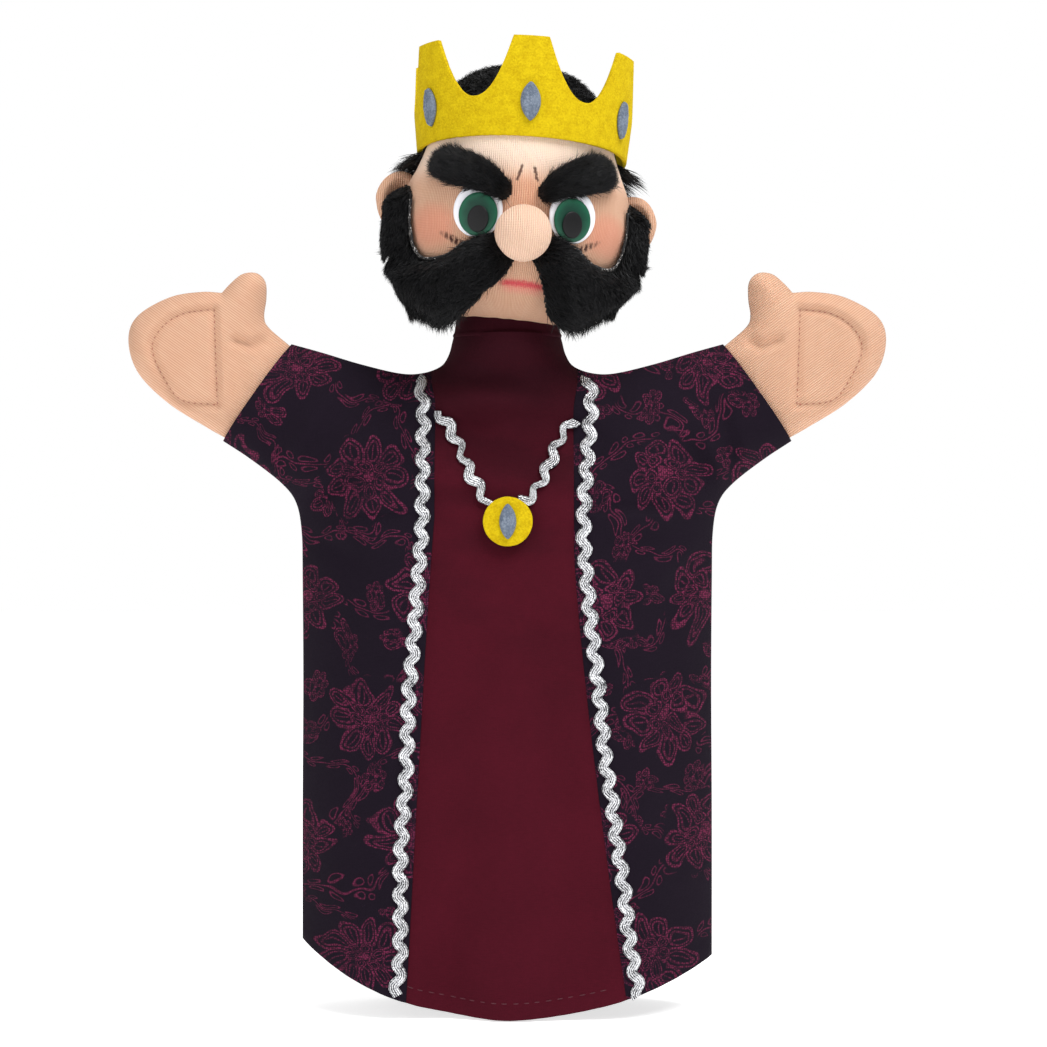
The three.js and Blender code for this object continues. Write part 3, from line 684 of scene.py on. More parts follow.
FRONT_SEED, BACK_SEED = 5, 15


def hem(x):
    """Height of the lower edge: lower in the middle, a little lower at the left side."""
    return 18.5 * (x / HALF_WIDTH) ** 2 - 2.5 * (x / HALF_WIDTH) ** 3


def seam_x(z, side):
    """Where the middle panel meets the side panel."""
    if side > 0:
        return 20.2 + 16.5 * clamp01((140 - z) / 140) ** 1.25 + 1.9 * smooth((z - 182) / 15)
    return -(21.8 + 8.7 * clamp01((150 - z) / 150) ** 0.9 + 1.9 * smooth((z - 184) / 12))


def neck_seam(xs, below=0.0):
    """The curved seam between the back panels and the collar."""
    return cols(xs, NECK_SEAM_Z - below + 6.2 * (xs / NECK_HALF) ** 2)


def to_arm(points):
    """From (x, z) to (along the arm, across it), for either side."""
    d = cols(abs(points[:, 0]) - ARM_X, points[:, 1] - ARM_Z)
    return cols(d @ ARM_ALONG, d @ ARM_ACROSS)


def from_arm(points, side):
    world = points[:, :1] * ARM_ALONG + points[:, 1:2] * ARM_ACROSS + (ARM_X, ARM_Z)
    return world * (side, 1)


def edge_distance(points):
    """Distance to the robe's outer edge, for either side."""
    folded = cols(abs(points[:, 0]), points[:, 1])
    return np.minimum(distance(folded, UNDERARM), distance(folded, SHOULDER))


def depth(points, seed=FRONT_SEED):
    """How far the robe's cloth stands from its middle plane at (x, z)."""
    x, z = abs(points[:, 0]), points[:, 1]
    edge = edge_distance(points)
    a = to_arm(points)[:, 0]
    sleeve = smooth((a + 28) / 28)
    neck = smooth((z - 180) / 18) * (1 - smooth((x - 25) / 12))
    high = mix(along(z, BELLY), 15.4, neck)
    wide = mix(52.0, 17.5, neck)
    high = mix(high, along(a, ARM_DEPTH), sleeve)
    wide = mix(wide, 20.5, sleeve)
    t = clamp01(edge / wide)
    body = high * (1 - (1 - t) ** 3) ** 0.86
    calm = 1 - 0.9 * smooth((a + 8) / 14)
    return body + wrinkles(points, seed) * smooth(t * 2.5) * calm


def wrinkles(points, seed):
    """Drape below, cross folds on the chest, pulls that fan out from the armpits."""
    x, z = points.T
    drape = noise(cols(x, z * 0.2), 19, seed) * 3.8 * smooth((150 - z) / 90)
    chest = smooth((z - 150) / 22) * (1 - smooth((abs(x) - 22) / 12))
    neck_calm = 0.65 if seed == FRONT_SEED else 0.96
    chest = chest * (1 - neck_calm * smooth((z - 190) / 9))
    cross = noise(cols(x * 0.3 + z * 0.2, z), 8.5, seed + 1) * 5.0 * chest
    away = np.hypot(abs(x) - ARMPIT_X, z - ARMPIT_Z)
    turn = np.arctan2(z - ARMPIT_Z, abs(x) - ARMPIT_X) * 16 + np.sign(x) * 40
    pull = noise(cols(turn, away * 0.12), 4.5, seed + 2)
    pull = pull * 3.6 * smooth((62 - away) / 46) * smooth((away - 4) / 12)
    small = noise(points, 9, seed + 3) * 0.55
    return drape + cross + pull + small


def seam_dip(points):
    """Stitching pulls the cloth in along the long seams, and the hem stands a little proud."""
    x, z = points.T
    dip = sum(0.7 * bell((x - seam_x(z, side)) / 1.5) for _, side in SIDES)
    above = z - hem(x)
    turned = 0.45 * smooth((6.2 - above) / 1.2) - 0.35 * bell((above - HEM_FOLD) / 0.5)
    pucker = 0.12 * np.sin(x * TAU / 5.5) * smooth((9 - above) / 6)
    return turned + pucker - dip


def seam_top(side):
    """The point of the neck edge where the long seam ends."""
    x, z = SHOULDER.T
    gap = x - abs(seam_x(z, side))
    return np.nonzero((gap[:-1] > 0) & (gap[1:] <= 0))[0][0] + 1


def long_seam(side):
    """The long seam from the hem up."""
    foot = seam_x(FOOT_Z, side)
    start = hem(foot)
    upper = [[seam_x(z, side), z] for z in np.arange(start + EDGE_STEP, SEAM_TOP_Z, EDGE_STEP)]
    return np.array([[foot, start], *upper])


BACK_TOP = int(np.argmin(abs(SHOULDER[:, 1] - 197.2) + 10 * (SHOULDER[:, 0] > 24)))


def side_outline(side, front):
    """Closed outline of a side or back panel with its half sleeve, for positive x."""
    if front:
        top = seam_top(side)
        inner = long_seam(side) * (side, 1)
    else:
        top = BACK_TOP
        middle = np.arange(hem(0.0), NECK_SEAM_Z - 1, EDGE_STEP)
        inner = np.vstack([cols(0.0, middle), neck_seam(np.arange(0, 19.5, EDGE_STEP))])
    cuff = resample(np.array([UNDERARM[0], SHOULDER[0]]), EDGE_STEP)[1:-1]
    corner = np.array([HALF_WIDTH, hem(HALF_WIDTH * side)])
    right = UNDERARM[::-1]
    right = np.vstack([corner, right[right[:, 1] > corner[1] + 0.8]])
    xs = np.arange(inner[0, 0] + EDGE_STEP, HALF_WIDTH - 0.5, EDGE_STEP)
    return np.vstack([cols(xs, hem(side * xs)), right, cuff, SHOULDER[: top + 1], inner[::-1]])


def cloth_panel(name, outline, sign, material, shift=0.0):
    """A panel of the robe, on its front (-1) or back (1) face."""
    points, faces = fill(outline, 1.7, (0.35, 0.95))
    seed = FRONT_SEED if sign < 0 else BACK_SEED
    y = np.maximum(depth(points, seed) + seam_dip(points) * (sign < 0), LEAST)
    y = np.where(edge_distance(points) < 0.02, THIN, y)
    at = cols(points[:, 0], sign * y, points[:, 1])
    flat = cols(points[:, 0] + shift, 0.0, points[:, 1])
    if sign > 0:
        faces = faces[:, ::-1]
    return thicken(build(name, at, faces, material, flat=flat), CLOTH)


def arm_point(side, a):
    x, z = from_arm(np.array([[a, 0.0]]), side)[0]
    return (x * MM, 0.0, z * MM)


def declare_sheet(thing, wide, tall):
    """Half of the thickened shell's area is the cloth's own."""
    area = area_of(thing) / 2
    wide = max(wide * MM, area / (tall * MM) * 1.002)


PANELS = (("front", -1, 12.0, 90), ("back", 1, 163.0, 95))
for word, s in SIDES:
    for face, sign, shift, wide in PANELS:
        loop = side_outline(s, face == "front") * (s, 1)
        panel = cloth_panel(f"{word}_{face}_cloth", loop, sign, PRINT, shift * s)
        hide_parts(f"{word}_{face}_panel", f"{word}_sleeve_{face}")
        arm_point(s, SHOULDER_BEND[0])
        arm_point(s, SHOULDER_BEND[1])
        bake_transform(panel)
        declare_sheet(panel, wide, 225)


def centre_outline():
    """The middle panel with the front of the neck, up to the collar's fold."""
    left, right = long_seam(1), long_seam(-1)
    neck_left, neck_right = SHOULDER[seam_top(1) :], SHOULDER[seam_top(-1) :] * (-1, 1)
    neck_left = neck_left[neck_left[:, 1] < COLLAR_FOLD]
    neck_right = neck_right[neck_right[:, 1] < COLLAR_FOLD]
    top = resample(np.array([neck_left[-1], neck_right[-1]]), EDGE_STEP)[1:-1]
    xs = np.arange(right[0, 0] + EDGE_STEP, left[0, 0] - 0.7, EDGE_STEP)
    return np.vstack([cols(xs, hem(xs)), left, neck_left, top, neck_right[::-1], right[::-1]])


def back_collar_outline():
    side = SHOULDER[BACK_TOP:]
    side = side[side[:, 1] < COLLAR_TOP - 0.4]
    over = resample(np.array([side[-1], side[-1] * (-1, 1)]), EDGE_STEP)[1:-1]
    curve = neck_seam(np.arange(-19.5, 19.6, EDGE_STEP), 1.0)
    return np.vstack([curve, side, over, side[::-1] * (-1, 1)])


NECK_PIECES = (
    ("centre_front_cloth", centre_outline, -1, "center_front_panel", 66, 212, "hung"),
    ("back_collar_cloth", back_collar_outline, 1, "collar_back", 42, 24, "gathered"),
)
for name, outline, sign, node, wide, tall, held in NECK_PIECES:
    panel = cloth_panel(name, outline(), sign, BURGUNDY)
    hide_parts(node)
    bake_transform(panel)
    declare_sheet(panel, wide, tall)


def collar_band():
    """The turned top of the collar, in front: a doubled band with a soft rolled edge."""
    rows, columns = 18, 90
    turn = np.linspace(-1.62, 1.62, columns)
    points, flat = [], []
    for i in range(rows):
        v = i / (rows - 1)
        z = COLLAR_TOP if v > 0.9 else mix(COLLAR_FOLD - 1.6, COLLAR_TOP, v)
        wide = mix(16.55, 15.5, v) - 0.7 * smooth((v - 0.86) / 0.14)
        ripple = 0.1 * np.sin(turn * 17 + 1.2 * np.sin(turn * 5)) * (0.4 + 0.6 * v)
        r = wide + ripple + 0.35 * smooth(1 - abs(v - 0.12) / 0.12)
        at_z = z + 0.12 * np.sin(turn * 4.3 + 1) * v
        points.append(cols(r * np.sin(turn), -r * HEAD_DEPTH * np.cos(turn), at_z))
        flat.append(cols(turn * 16, 0.0, at_z))
    band = build("collar_band", np.vstack(points), grid_faces(rows, columns), BURGUNDY,
                 flat=np.vstack(flat))
    thicken(band, BAND_CLOTH)
    settle_on(band, "collar", "burgundy_cotton", "collar_front")
    declare_sheet(band, 52, 10.0)


collar_band()

# ---------------------------------------------------------------- stitches and braid


STITCH_STEP, BRAID_STEP = 0.4, 0.22


def stitches(name, line, sizes, material, body, slot, lift=0.0):
    """Short threads sunk a little into the cloth; sizes are length, gap and radius."""
    length, gap, radius = sizes
    line = resample(line, STITCH_STEP)
    count = int(len(line) * STITCH_STEP / (length + gap))
    turn = circle(6)[:, None]
    parts = []
    for k in range(count):
        first = int(k * (length + gap) / STITCH_STEP)
        last = min(len(line) - 1, first + int(length / STITCH_STEP))
        if last <= first:
            continue
        spine = line[first : last + 1]
        forward = unit(spine[-1] - spine[0])
        side = unit(np.cross(forward, [0.0, 0.0, 1.0]) + 1e-6)
        up = np.cross(side, forward)
        rings = []
        for i, p in enumerate(spine):
            v = i / (len(spine) - 1)
            r = radius * math.sqrt(max(0.03, 1 - (2 * v - 1) ** 4))
            arc = p + np.array([0, -lift * math.sin(math.pi * v), 0])
            rings.append(arc + r * (np.cos(turn) * side + np.sin(turn) * up))
        parts.append((np.vstack(rings), grid_faces(len(spine), 6, True)))
    settle_on(build(name, *join_parts(parts), material), body, slot)


def hem_line():
    xs = np.arange(-30, 33, 0.5)
    points = cols(xs, hem(xs) + HEM_FOLD)
    y = depth(points) + seam_dip(points)
    return cols(xs, -y - 0.02, points[:, 1])


stitches("hem_stitching", hem_line(), (2.3, 1.1, 0.17), THREAD_RED, "robe", "burgundy_cotton",
         0.12)


def ribbon(line, half, start):
    """A wavy plaited ribbon over a plane curve: (x, z), height above it, (along, across)."""
    line = resample(line, BRAID_STEP)
    tangent = unit(np.gradient(line, axis=0))
    normal = cols(-tangent[:, 1], tangent[:, 0])
    s = np.arange(len(line)) * BRAID_STEP
    wave = BRAID_SWING * np.sin(s * TAU / BRAID_PITCH + start)
    path = line + normal * wave[:, None]
    direction = unit(np.gradient(path, axis=0))
    cross = cols(-direction[:, 1], direction[:, 0])
    q = np.linspace(-1, 1, 19)
    half = np.broadcast_to(half, len(line))
    flat = path[:, None] + cross[:, None] * q[None, :, None] * half[:, None, None]
    strand = abs(np.sin(q * TAU * 1.25))
    plait = np.sin((s[:, None] + abs(q) * 1.1) * TAU / 0.95)
    crown = (1 - q**2) ** 0.5
    high = 0.22 + 0.32 * crown + 0.17 * strand + 0.05 * plait * crown
    return flat, high, cols(s[:, None], q * BRAID_HALF, high * 0)


def braid(name, line, body, node, lift, half, start):
    """A ribbon laid on the robe, lifted off it a little."""
    flat, high, marks = ribbon(line, half, start)
    rows, columns = high.shape
    plane = flat.reshape(-1, 2)
    ground = (depth(plane) + seam_dip(plane)).reshape(rows, columns)
    kernel = np.ones(9) / 9
    ground = [np.convolve(np.pad(line, 4, "edge"), kernel, "valid") for line in ground.T]
    y = -(np.stack(ground, 1) + lift + high)
    points = cols(flat[..., 0], y, flat[..., 1]).reshape(-1, 3)
    thing = build(name, points, grid_faces(rows, columns), SILVER, flat=marks.reshape(-1, 3))
    return settle_on(thicken(thing, 0.45, 1.0), body, "silver_braid", node)


TRIM = {
    1: [(23.4, 193.6), (24.4, 189), (24.3, 182), (23.4, 172), (22.2, 157), (22, 142),
        (23.8, 121), (26.6, 97), (28.4, 77), (30.2, 66), (32, 52), (34, 39), (35.4, 25),
        (37.4, 13), (38.5, 6.5)],
    -1: [(-28.8, 193.2), (-27, 188), (-26.6, 176), (-26.6, 153), (-27.2, 140),
         (-29, 115), (-30.6, 97), (-31.5, 72), (-33, 51), (-33.1, 30), (-33.3, 17), (-34.6, 7)],
}


def trim(word, s):
    """The braid beside the long seam, with the row of stitches that holds it."""
    route = spline(TRIM[s], 1.0)[::-1] + (1.2, 0)
    made = braid(f"{word}_rickrack", route, "robe", f"{word}_rickrack_trim", 0.12, BRAID_HALF,
                 0.8 * s)
    sewn = resample(route, STITCH_STEP)[4:-4]
    ridge = np.array([vertex.co for vertex in made.data.vertices]) / MM
    tops = []
    for x, z in sewn:
        near = np.hypot(ridge[:, 0] - x, ridge[:, 2] - z) < 0.5
        tops.append(ridge[near, 1].min())
    line = cols(sewn[:, 0], np.array(tops) + 0.02, sewn[:, 1])
    stitches(f"{word}_trim_stitches", line, (1.8, 0.35, 0.17), THREAD_GREY, "robe",
             "silver_braid")


for word, s in SIDES:
    trim(word, s)

STRANDS = {
    1: [(4.0, 154.8), (7.3, 156.9), (10.8, 162), (13.8, 169.3), (16.8, 175.6), (20.4, 180.4)],
    -1: [(-5.4, 153.4), (-7.9, 158.4), (-11.4, 164.6), (-14.2, 171.6), (-17.4, 177.6),
         (-21.2, 182.6)],
}
for word, s in SIDES:
    route = spline(STRANDS[s], 1.0)
    steps = len(resample(route, BRAID_STEP))
    twist = 0.5 + 0.5 * np.cos(np.arange(steps) * BRAID_STEP * TAU / 17 + (0.4 if s > 0 else 2.6))
    braid(f"{word}_necklace_braid", route, "necklace", f"{word}_necklace_strand", 0.9,
          BRAID_HALF * mix(0.62, 1.0, twist), 1.9 * s)

# ---------------------------------------------------------------- felt pieces


def gem(name, half_wide, half_tall, thick, to_world, node, body):
    """A pointed oval of thick felt with a softly rounded face."""
    rows, columns = 41, 17
    v = np.linspace(-1, 1, rows)[:, None]
    across = np.linspace(-1, 1, columns)
    x = across * (half_wide * (1 - v**2) ** 0.82 + 0.12)
    rim = np.minimum(1 - abs(across), (1 - abs(v)) * 2.2)
    front = cols(x, -thick * (0.35 + 0.65 * smooth(rim / 0.3) ** 0.6), v * half_tall).reshape(-1, 3)
    front[:, 1] -= noise(front[:, [0, 2]], 0.7, 3) * 0.07
    n = len(front)
    faces = grid_faces(rows, columns)
    grid = np.arange(n).reshape(rows, columns)
    ring = np.r_[grid[0], grid[1:, -1], grid[-1, -2::-1], grid[-2:0:-1, 0]]
    after = np.roll(ring, -1)
    every = np.vstack([faces, faces[:, ::-1] + n, cols(ring + n, after + n, after, ring)])
    points = np.vstack([front, front * (1, 0, 1)])
    thing = build(name, to_world(points), every, GREY, local=points)
    settle_on(thing, body, "grey_felt", node)


PENDANT = np.array([0.3, -23.6, 149.2])
PENDANT_RADIUS, PENDANT_THICK = 7.4, 2.0


def pendant():
    columns = 72
    turn = circle(columns)
    profile = [(0.01, -PENDANT_THICK)]
    profile += [(PENDANT_RADIUS * i / 16, 0.02 * i / 16 - PENDANT_THICK) for i in range(1, 16)]
    profile += [(7.3, -1.9), (7.42, -1.7), (7.46, -1.4), (7.44, -0.8), (7.42, -0.3), (7.3, 0.0),
                (6.0, 0.0), (4.0, 0.0), (2.0, 0.0), (0.01, 0.0)]
    points = []
    for r, y in profile:
        ring = cols(r * np.cos(turn), y, r * np.sin(turn))
        rough = noise(ring[:, [0, 2]] + y, 0.8, 8) * 0.07
        ring[:, 1] -= rough if y < -1 else 0
        ring[:, [0, 2]] *= 1 + 0.006 * noise(ring[:, [0, 2]], 1.4, 9)[:, None]
        points.append(ring)
    points = np.vstack(points)
    disc = build("pendant_felt", points + PENDANT, grid_faces(len(profile), columns, True),
                 YELLOW, local=points)
    settle_on(disc, "necklace", "yellow_felt", "pendant_disc")
    gem("pendant_stone", 2.4, 5.3, 1.15, lambda p: p + PENDANT - (0, PENDANT_THICK + 0.1, 0),
        "pendant_gem", "necklace")


pendant()

# ---------------------------------------------------------------- head frame

ROTATE = (np.array([[math.cos(LEAN), 0, math.sin(LEAN)], [0, 1, 0],
                    [-math.sin(LEAN), 0, math.cos(LEAN)]])
          @ np.array([[math.cos(YAW), -math.sin(YAW), 0], [math.sin(YAW), math.cos(YAW), 0],
                      [0, 0, 1]]))


def head(points):
    """From the head's own axes to the puppet's."""
    return np.asarray(points) @ ROTATE.T + (0, 0, NECK_Z)


SKULL = spline([(13.3, 4), (13.35, 8), (13.6, 12), (17, 15.5), (22.5, 19), (28, 24.5), (32, 31),
                (34.3, 38.5), (35, 46), (34, 54), (31.2, 60.5), (29.2, 66), (28, 72), (26, 78),
                (22, 83.5), (15, 87.8), (7.5, 90), (0.01, 90.6)], 0.9)
DRAPE = spline([(18, 1), (24, 7), (28.4, 13.5), (31.2, 21), (33.4, 29), (35, 37.5), (35.5, 46),
                (34.5, 54), (32, 60.8), (30, 65)], 0.9)


def radius_at(z, profile):
    order = np.argsort(profile[:, 1])
    return np.interp(z, profile[order, 1], profile[order, 0])


def front_y(x, z, profile=SKULL, out=0.0):
    """The front surface of the head at (x, z)."""
    r = radius_at(z, profile) + out
    return -HEAD_DEPTH * np.sqrt(np.maximum(r * r - x * x, 0.0))


def crown_points(angle, height, radius):
    """Points on the crown's slightly flared and tilted wall."""
    front = 1 - 0.035 * np.maximum(np.cos(angle), 0)
    x = np.sin(angle) * radius - 0.036 * height + 1.2 * np.maximum(-np.cos(angle), 0)
    p = cols(x, -np.cos(angle) * radius * front, height)
    c, s = math.cos(CROWN_TILT), math.sin(CROWN_TILT)
    y, z = p[..., 1] * c + p[..., 2] * s, -p[..., 1] * s + p[..., 2] * c
    return cols(p[..., 0] + 0.7, y, z + CROWN_Z)


# ---------------------------------------------------------------- head cover, nose and ears


def skin(name, points, shape, material, flat, node, inside_out=False):
    """A stuffed knitted piece, closed round a grid of points."""
    made = build(name, head(points), grid_faces(*shape, True), material, local=points, flat=flat)
    if inside_out:
        made.data.flip_normals()
    settle_on(made, "head", "skin_jersey", node)


def head_cover():
    columns = 150
    turn = circle(columns)
    front = np.maximum(np.cos(turn), 0)
    rows, ribs = [], []
    for r, z in SKULL:
        ring = cols(r * np.sin(turn), -HEAD_DEPTH * r * np.cos(turn), z)
        out = noise(ring, 15, 4) * 0.45 + noise(ring, 6, 5) * 0.12
        chin = bell((z - 22) / 5) * 0.25 * np.sin(turn * 9) * (np.cos(turn) > 0)
        brow_bone = 2.4 * smooth((z - 56) / 11) * (1 - smooth((z - 69.5) / 4))
        out = out + brow_bone * front**1.2 + chin
        rows.append(ring + unit(ring * (1, 1, 0)) * out[:, None])
        ribs.append(cols((turn - TAU * (turn > np.pi)) * 33, 0.0, z))
    skin("head_skin", np.vstack(rows), (len(SKULL), columns), FACE, np.vstack(ribs),
         "head_cover")


head_cover()


def sphere(rows, columns):
    """Unit rings about the front-to-back axis: the angles, the ring's own angle, its points."""
    turn = circle(columns)
    for v in np.linspace(0, math.pi, rows):
        yield turn, v, cols(np.sin(v) * np.cos(turn), -np.cos(v), np.sin(v) * np.sin(turn))


def nose():
    shape = (60, 80)
    rings = []
    for turn, v, ring in sphere(*shape):
        behind = smooth((v / math.pi - 0.55) / 0.35)
        gather = 1 - 0.10 * behind + 0.02 * behind * np.sin(turn * 14)
        ring = ring * NOSE_RADIUS * cols(gather, 1.0, gather)
        rings.append(ring * (1 + noise(ring, 5, 12) * 0.012)[:, None])
    flat = np.vstack(rings)
    skin("nose_skin", flat + (0, NOSE_Y, NOSE_Z), shape, NOSE, flat, "nose_cover", True)


nose()


def ear(word, s):
    """A flat padded oval with a hollow in its front."""
    shape = (48, 56)
    points = []
    for _, _, ring in sphere(*shape):
        out = np.hypot(ring[:, 0], ring[:, 2])
        hollow = 1.05 * smooth((0.78 - out) / 0.5) * (ring[:, 1] < 0)
        points.append(cols(s * (EAR_X + 0.4 * s + ring[:, 0] * EAR_WIDE),
                           EAR_Y + ring[:, 1] * 3.4 + hollow * 3.6,
                           EAR_Z - 1.5 * s + ring[:, 2] * EAR_TALL))
    points = np.vstack(points)
    points = points + noise(points, 4, 21)[:, None] * 0.25
    skin(f"{word}_ear_skin", points, shape, JERSEY, points, f"{word}_ear", s > 0)


for word, s in SIDES:
    ear(word, s)

# ---------------------------------------------------------------- eyes


def eye_disc(word, s, part, below, half_wide, half_tall, out, thick, material, slot):
    """A thin oval disc bent over the head, with a rounded rim."""
    columns = 72
    turn = circle(columns)
    points, rim, local = [], [], []
    profile = [(max(i / 11, 0.01), 1.0) for i in range(12)]
    profile += [(1.012, 0.75), (1.012, 0.4), (1.0, 0.0)]
    for r, up in profile:
        x = s * EYE_X + 0.7 + half_wide * r * np.cos(turn)
        z = EYE_Z - below + half_tall * r * np.sin(turn)
        dome = 0.22 * (1 - min(r, 1) ** 2)
        points.append(cols(x, front_y(x, z, SKULL, out + thick * (up + dome)), z))
        rim.append(np.full(columns, min(r, 1.0) ** 3))
        local.append(cols(x, 0.0, z))
    made = build(f"{word}_eye_{part}_disc", head(np.vstack(points)),
                 grid_faces(len(profile), columns, True), material,
                 local=np.vstack(local), rim=np.concatenate(rim))
    settle_on(made, "head", slot, f"{word}_eye_{part}")


for word, s in SIDES:
    eye_disc(word, s, "white", 1.4, 7.1, 8.0, 0.15, 0.95, WHITE, "eye_white")
    eye_disc(word, s, "iris", 2.6, 5.6, 6.4, 1.1, 0.75, GREEN, "eye_green")
    eye_disc(word, s, "pupil", 4.1, 3.0, 3.9, 1.9, 0.6, BLACK, "eye_black")

# ---------------------------------------------------------------- plush


def blades(name, roots, normals, comb, length, width, lift, rng, clump=3.0):
    """Tapered curved hairs: roots and directions in head axes."""
    n = len(roots)
    jitter = rng.normal(0, 1, (n, 3))
    swirl = np.stack([noise(roots, clump, 40 + k) for k in range(3)], 1)
    side_ways = comb - normals * (comb * normals).sum(1)[:, None]
    lay = unit(side_ways + swirl * 0.22 + jitter * 0.26)
    lay = unit(lay - normals * (lay * normals).sum(1)[:, None])
    start = unit(normals * lift + lay * (1 - lift) + jitter * 0.10)
    reach = length * rng.uniform(0.72, 1.12, n) * (1 + 0.14 * noise(roots, clump * 0.8, 77))
    twist = unit(np.cross(start, rng.normal(0, 1, (n, 3))))
    points = np.zeros((n, 7, 3))
    tips = np.zeros((n, 7))
    at = roots - normals * 0.3
    heading = start
    for k, (share, wide) in enumerate(((0.0, 1.0), (0.36, 0.9), (0.70, 0.6), (1.0, 0.0))):
        if k:
            heading = unit(heading + lay * 0.34 + swirl * 0.06)
            at = at + heading * (reach * (share - last))[:, None]
        last = share
        if k < 3:
            points[:, 2 * k] = at - twist * (width * wide / 2)
            points[:, 2 * k + 1] = at + twist * (width * wide / 2)
            tips[:, 2 * k : 2 * k + 2] = share
        else:
            points[:, 6] = at
            tips[:, 6] = 1
    base = np.arange(n)[:, None] * 7
    shape = np.array([[0, 1, 3], [0, 3, 2], [2, 3, 5], [2, 5, 4], [4, 5, 6]])
    faces = (base[:, :, None] + shape[None]).reshape(-1, 3)
    flat = points.reshape(-1, 3)
    settle_on(build(name, head(flat), faces, PLUSH, local=flat, tip=tips.ravel()), "head",
              "black_plush")


def scatter(points, faces, count, rng):
    """Random places and normals over quads."""
    tri = np.vstack([faces[:, [0, 1, 2]], faces[:, [0, 2, 3]]])
    a, b, c = (points[tri[:, k]] for k in range(3))
    cross = np.cross(b - a, c - a)
    size = np.linalg.norm(cross, axis=1)
    pick = rng.choice(len(tri), count, p=size / size.sum())
    u, v = rng.uniform(0, 1, (2, count))
    over = u + v > 1
    u, v = np.where(over, 1 - u, u), np.where(over, 1 - v, v)
    spots = a[pick] + (b - a)[pick] * u[:, None] + (c - a)[pick] * v[:, None]
    return spots, unit(cross)[pick]


WHISKER = [(35.5, 59), (41, 55), (43.5, 46), (41, 34), (35.5, 24.2), (28, 16.8), (19, 12.2),
           (12.5, 14.5), (8, 22), (4.6, 28.5), (1.5, 33)]
WHISKER_INNER = [(1.5, 33), (4.5, 37.5), (9.5, 38.6), (15.8, 36), (22.3, 31.6), (28.5, 31.2),
                 (32, 36), (33.4, 44), (35.5, 59)]
BROW = [(3.0, 52.4), (6.5, 56.6), (13.5, 61.8), (20.8, 63.6), (25.2, 61.2), (25.8, 55.6),
        (21, 52.6), (12, 50.4), (5, 48.2), (3.0, 52.4)]


def pelt(profile, outline, s, out, soften, beside=None):
    """The cut of plush backing on the head: a domed pad inside an outline of (|x|, z)."""
    columns = 96
    turn = np.linspace(0, math.pi * 0.56, columns)
    zs = np.arange(outline[:, 1].min() - 0.5, outline[:, 1].max() + 0.5, 0.75)
    r = radius_at(zs, profile)[:, None]
    x = r * np.sin(turn)
    z = np.broadcast_to(zs[:, None], x.shape)
    plane = cols(x.ravel(), z.ravel())
    within = inside(plane, outline)
    edge = distance(plane, closed(outline)) * np.where(within, 1, -1)
    if beside:
        around = np.broadcast_to(turn, x.shape).ravel()
        low, high = beside
        arch = 1 - np.sqrt(clamp01(1 - ((around - 1.45) / 0.27) ** 2))
        top = high - 5.5 * arch
        more = (around > 1.2) & (plane[:, 1] > low) & (plane[:, 1] < top)
        reach = np.minimum((around - 1.2) * 34, np.minimum(top - plane[:, 1], 6.0))
        edge = np.where(more, np.maximum(edge, reach), edge)
        within = within | more
    rise = (out * smooth(edge / soften) + 0.35).reshape(x.shape)
    grown = r + rise
    points = cols(s * grown * np.sin(turn), -HEAD_DEPTH * grown * np.cos(turn), z)
    faces = grid_faces(len(zs), columns)
    keep = within[faces].all(1)
    faces = faces[keep]
    if s < 0:
        faces = faces[:, ::-1]
    return used_only(points.reshape(-1, 3), faces)


def used_only(points, faces):
    used, inverse = np.unique(faces, return_inverse=True)
    return points[used], inverse.reshape(faces.shape)


def plush_pad(name, points, faces, thickness, node):
    """The backing under a pile: dark, and hidden by the hair."""
    pad = build(name, head(points), faces, PLUSH, local=points, tip=np.zeros(len(points)))
    settle_on(thicken(pad, thickness), "head", "black_plush", node)


def whiskers(word, s):
    """Sideburn, beard and moustache of one side, in one cut."""
    rng = np.random.default_rng(100 + s)
    outline = np.vstack([spline(WHISKER, 1.0)[:-1], spline(WHISKER_INNER, 1.0)[:-1]])
    low = smooth((27 - outline[:, 1]) / 14)
    outline[:, 0] = np.maximum(outline[:, 0] - (0.2 + 2.8 * s) * low, 0.6)
    if s < 0:
        outline[:, 0] -= 2.2 * bell((outline[:, 1] - 28) / 4.5) * (outline[:, 0] < 14)
        outline[:, 0] = np.maximum(outline[:, 0], 0.4)
    points, faces = pelt(DRAPE, outline, s, 4.1, 6.0, (34.0, 53.4 - s))
    plush_pad(f"{word}_whisker_pad", points, faces, 1.0, f"{word}_whiskers")
    spots, normals = scatter(points, faces, WHISKER_HAIRS, rng)
    x, z = abs(spots[:, 0]), spots[:, 2]
    comb = cols(s * mix(0.9, 0.25, smooth((x - 6) / 24)), -0.1,
                -mix(0.35, 1.0, smooth((x - 8) / 20)))
    length = mix(4.3, 4.9, smooth((22 - z) / 10)) - 1.5 * smooth((z - 37) / 11)
    length = length * (1 - 0.35 * smooth((5 - x) / 4))
    blades(f"{word}_whisker_pile", spots, normals, comb, length, 0.2, 0.58, rng)


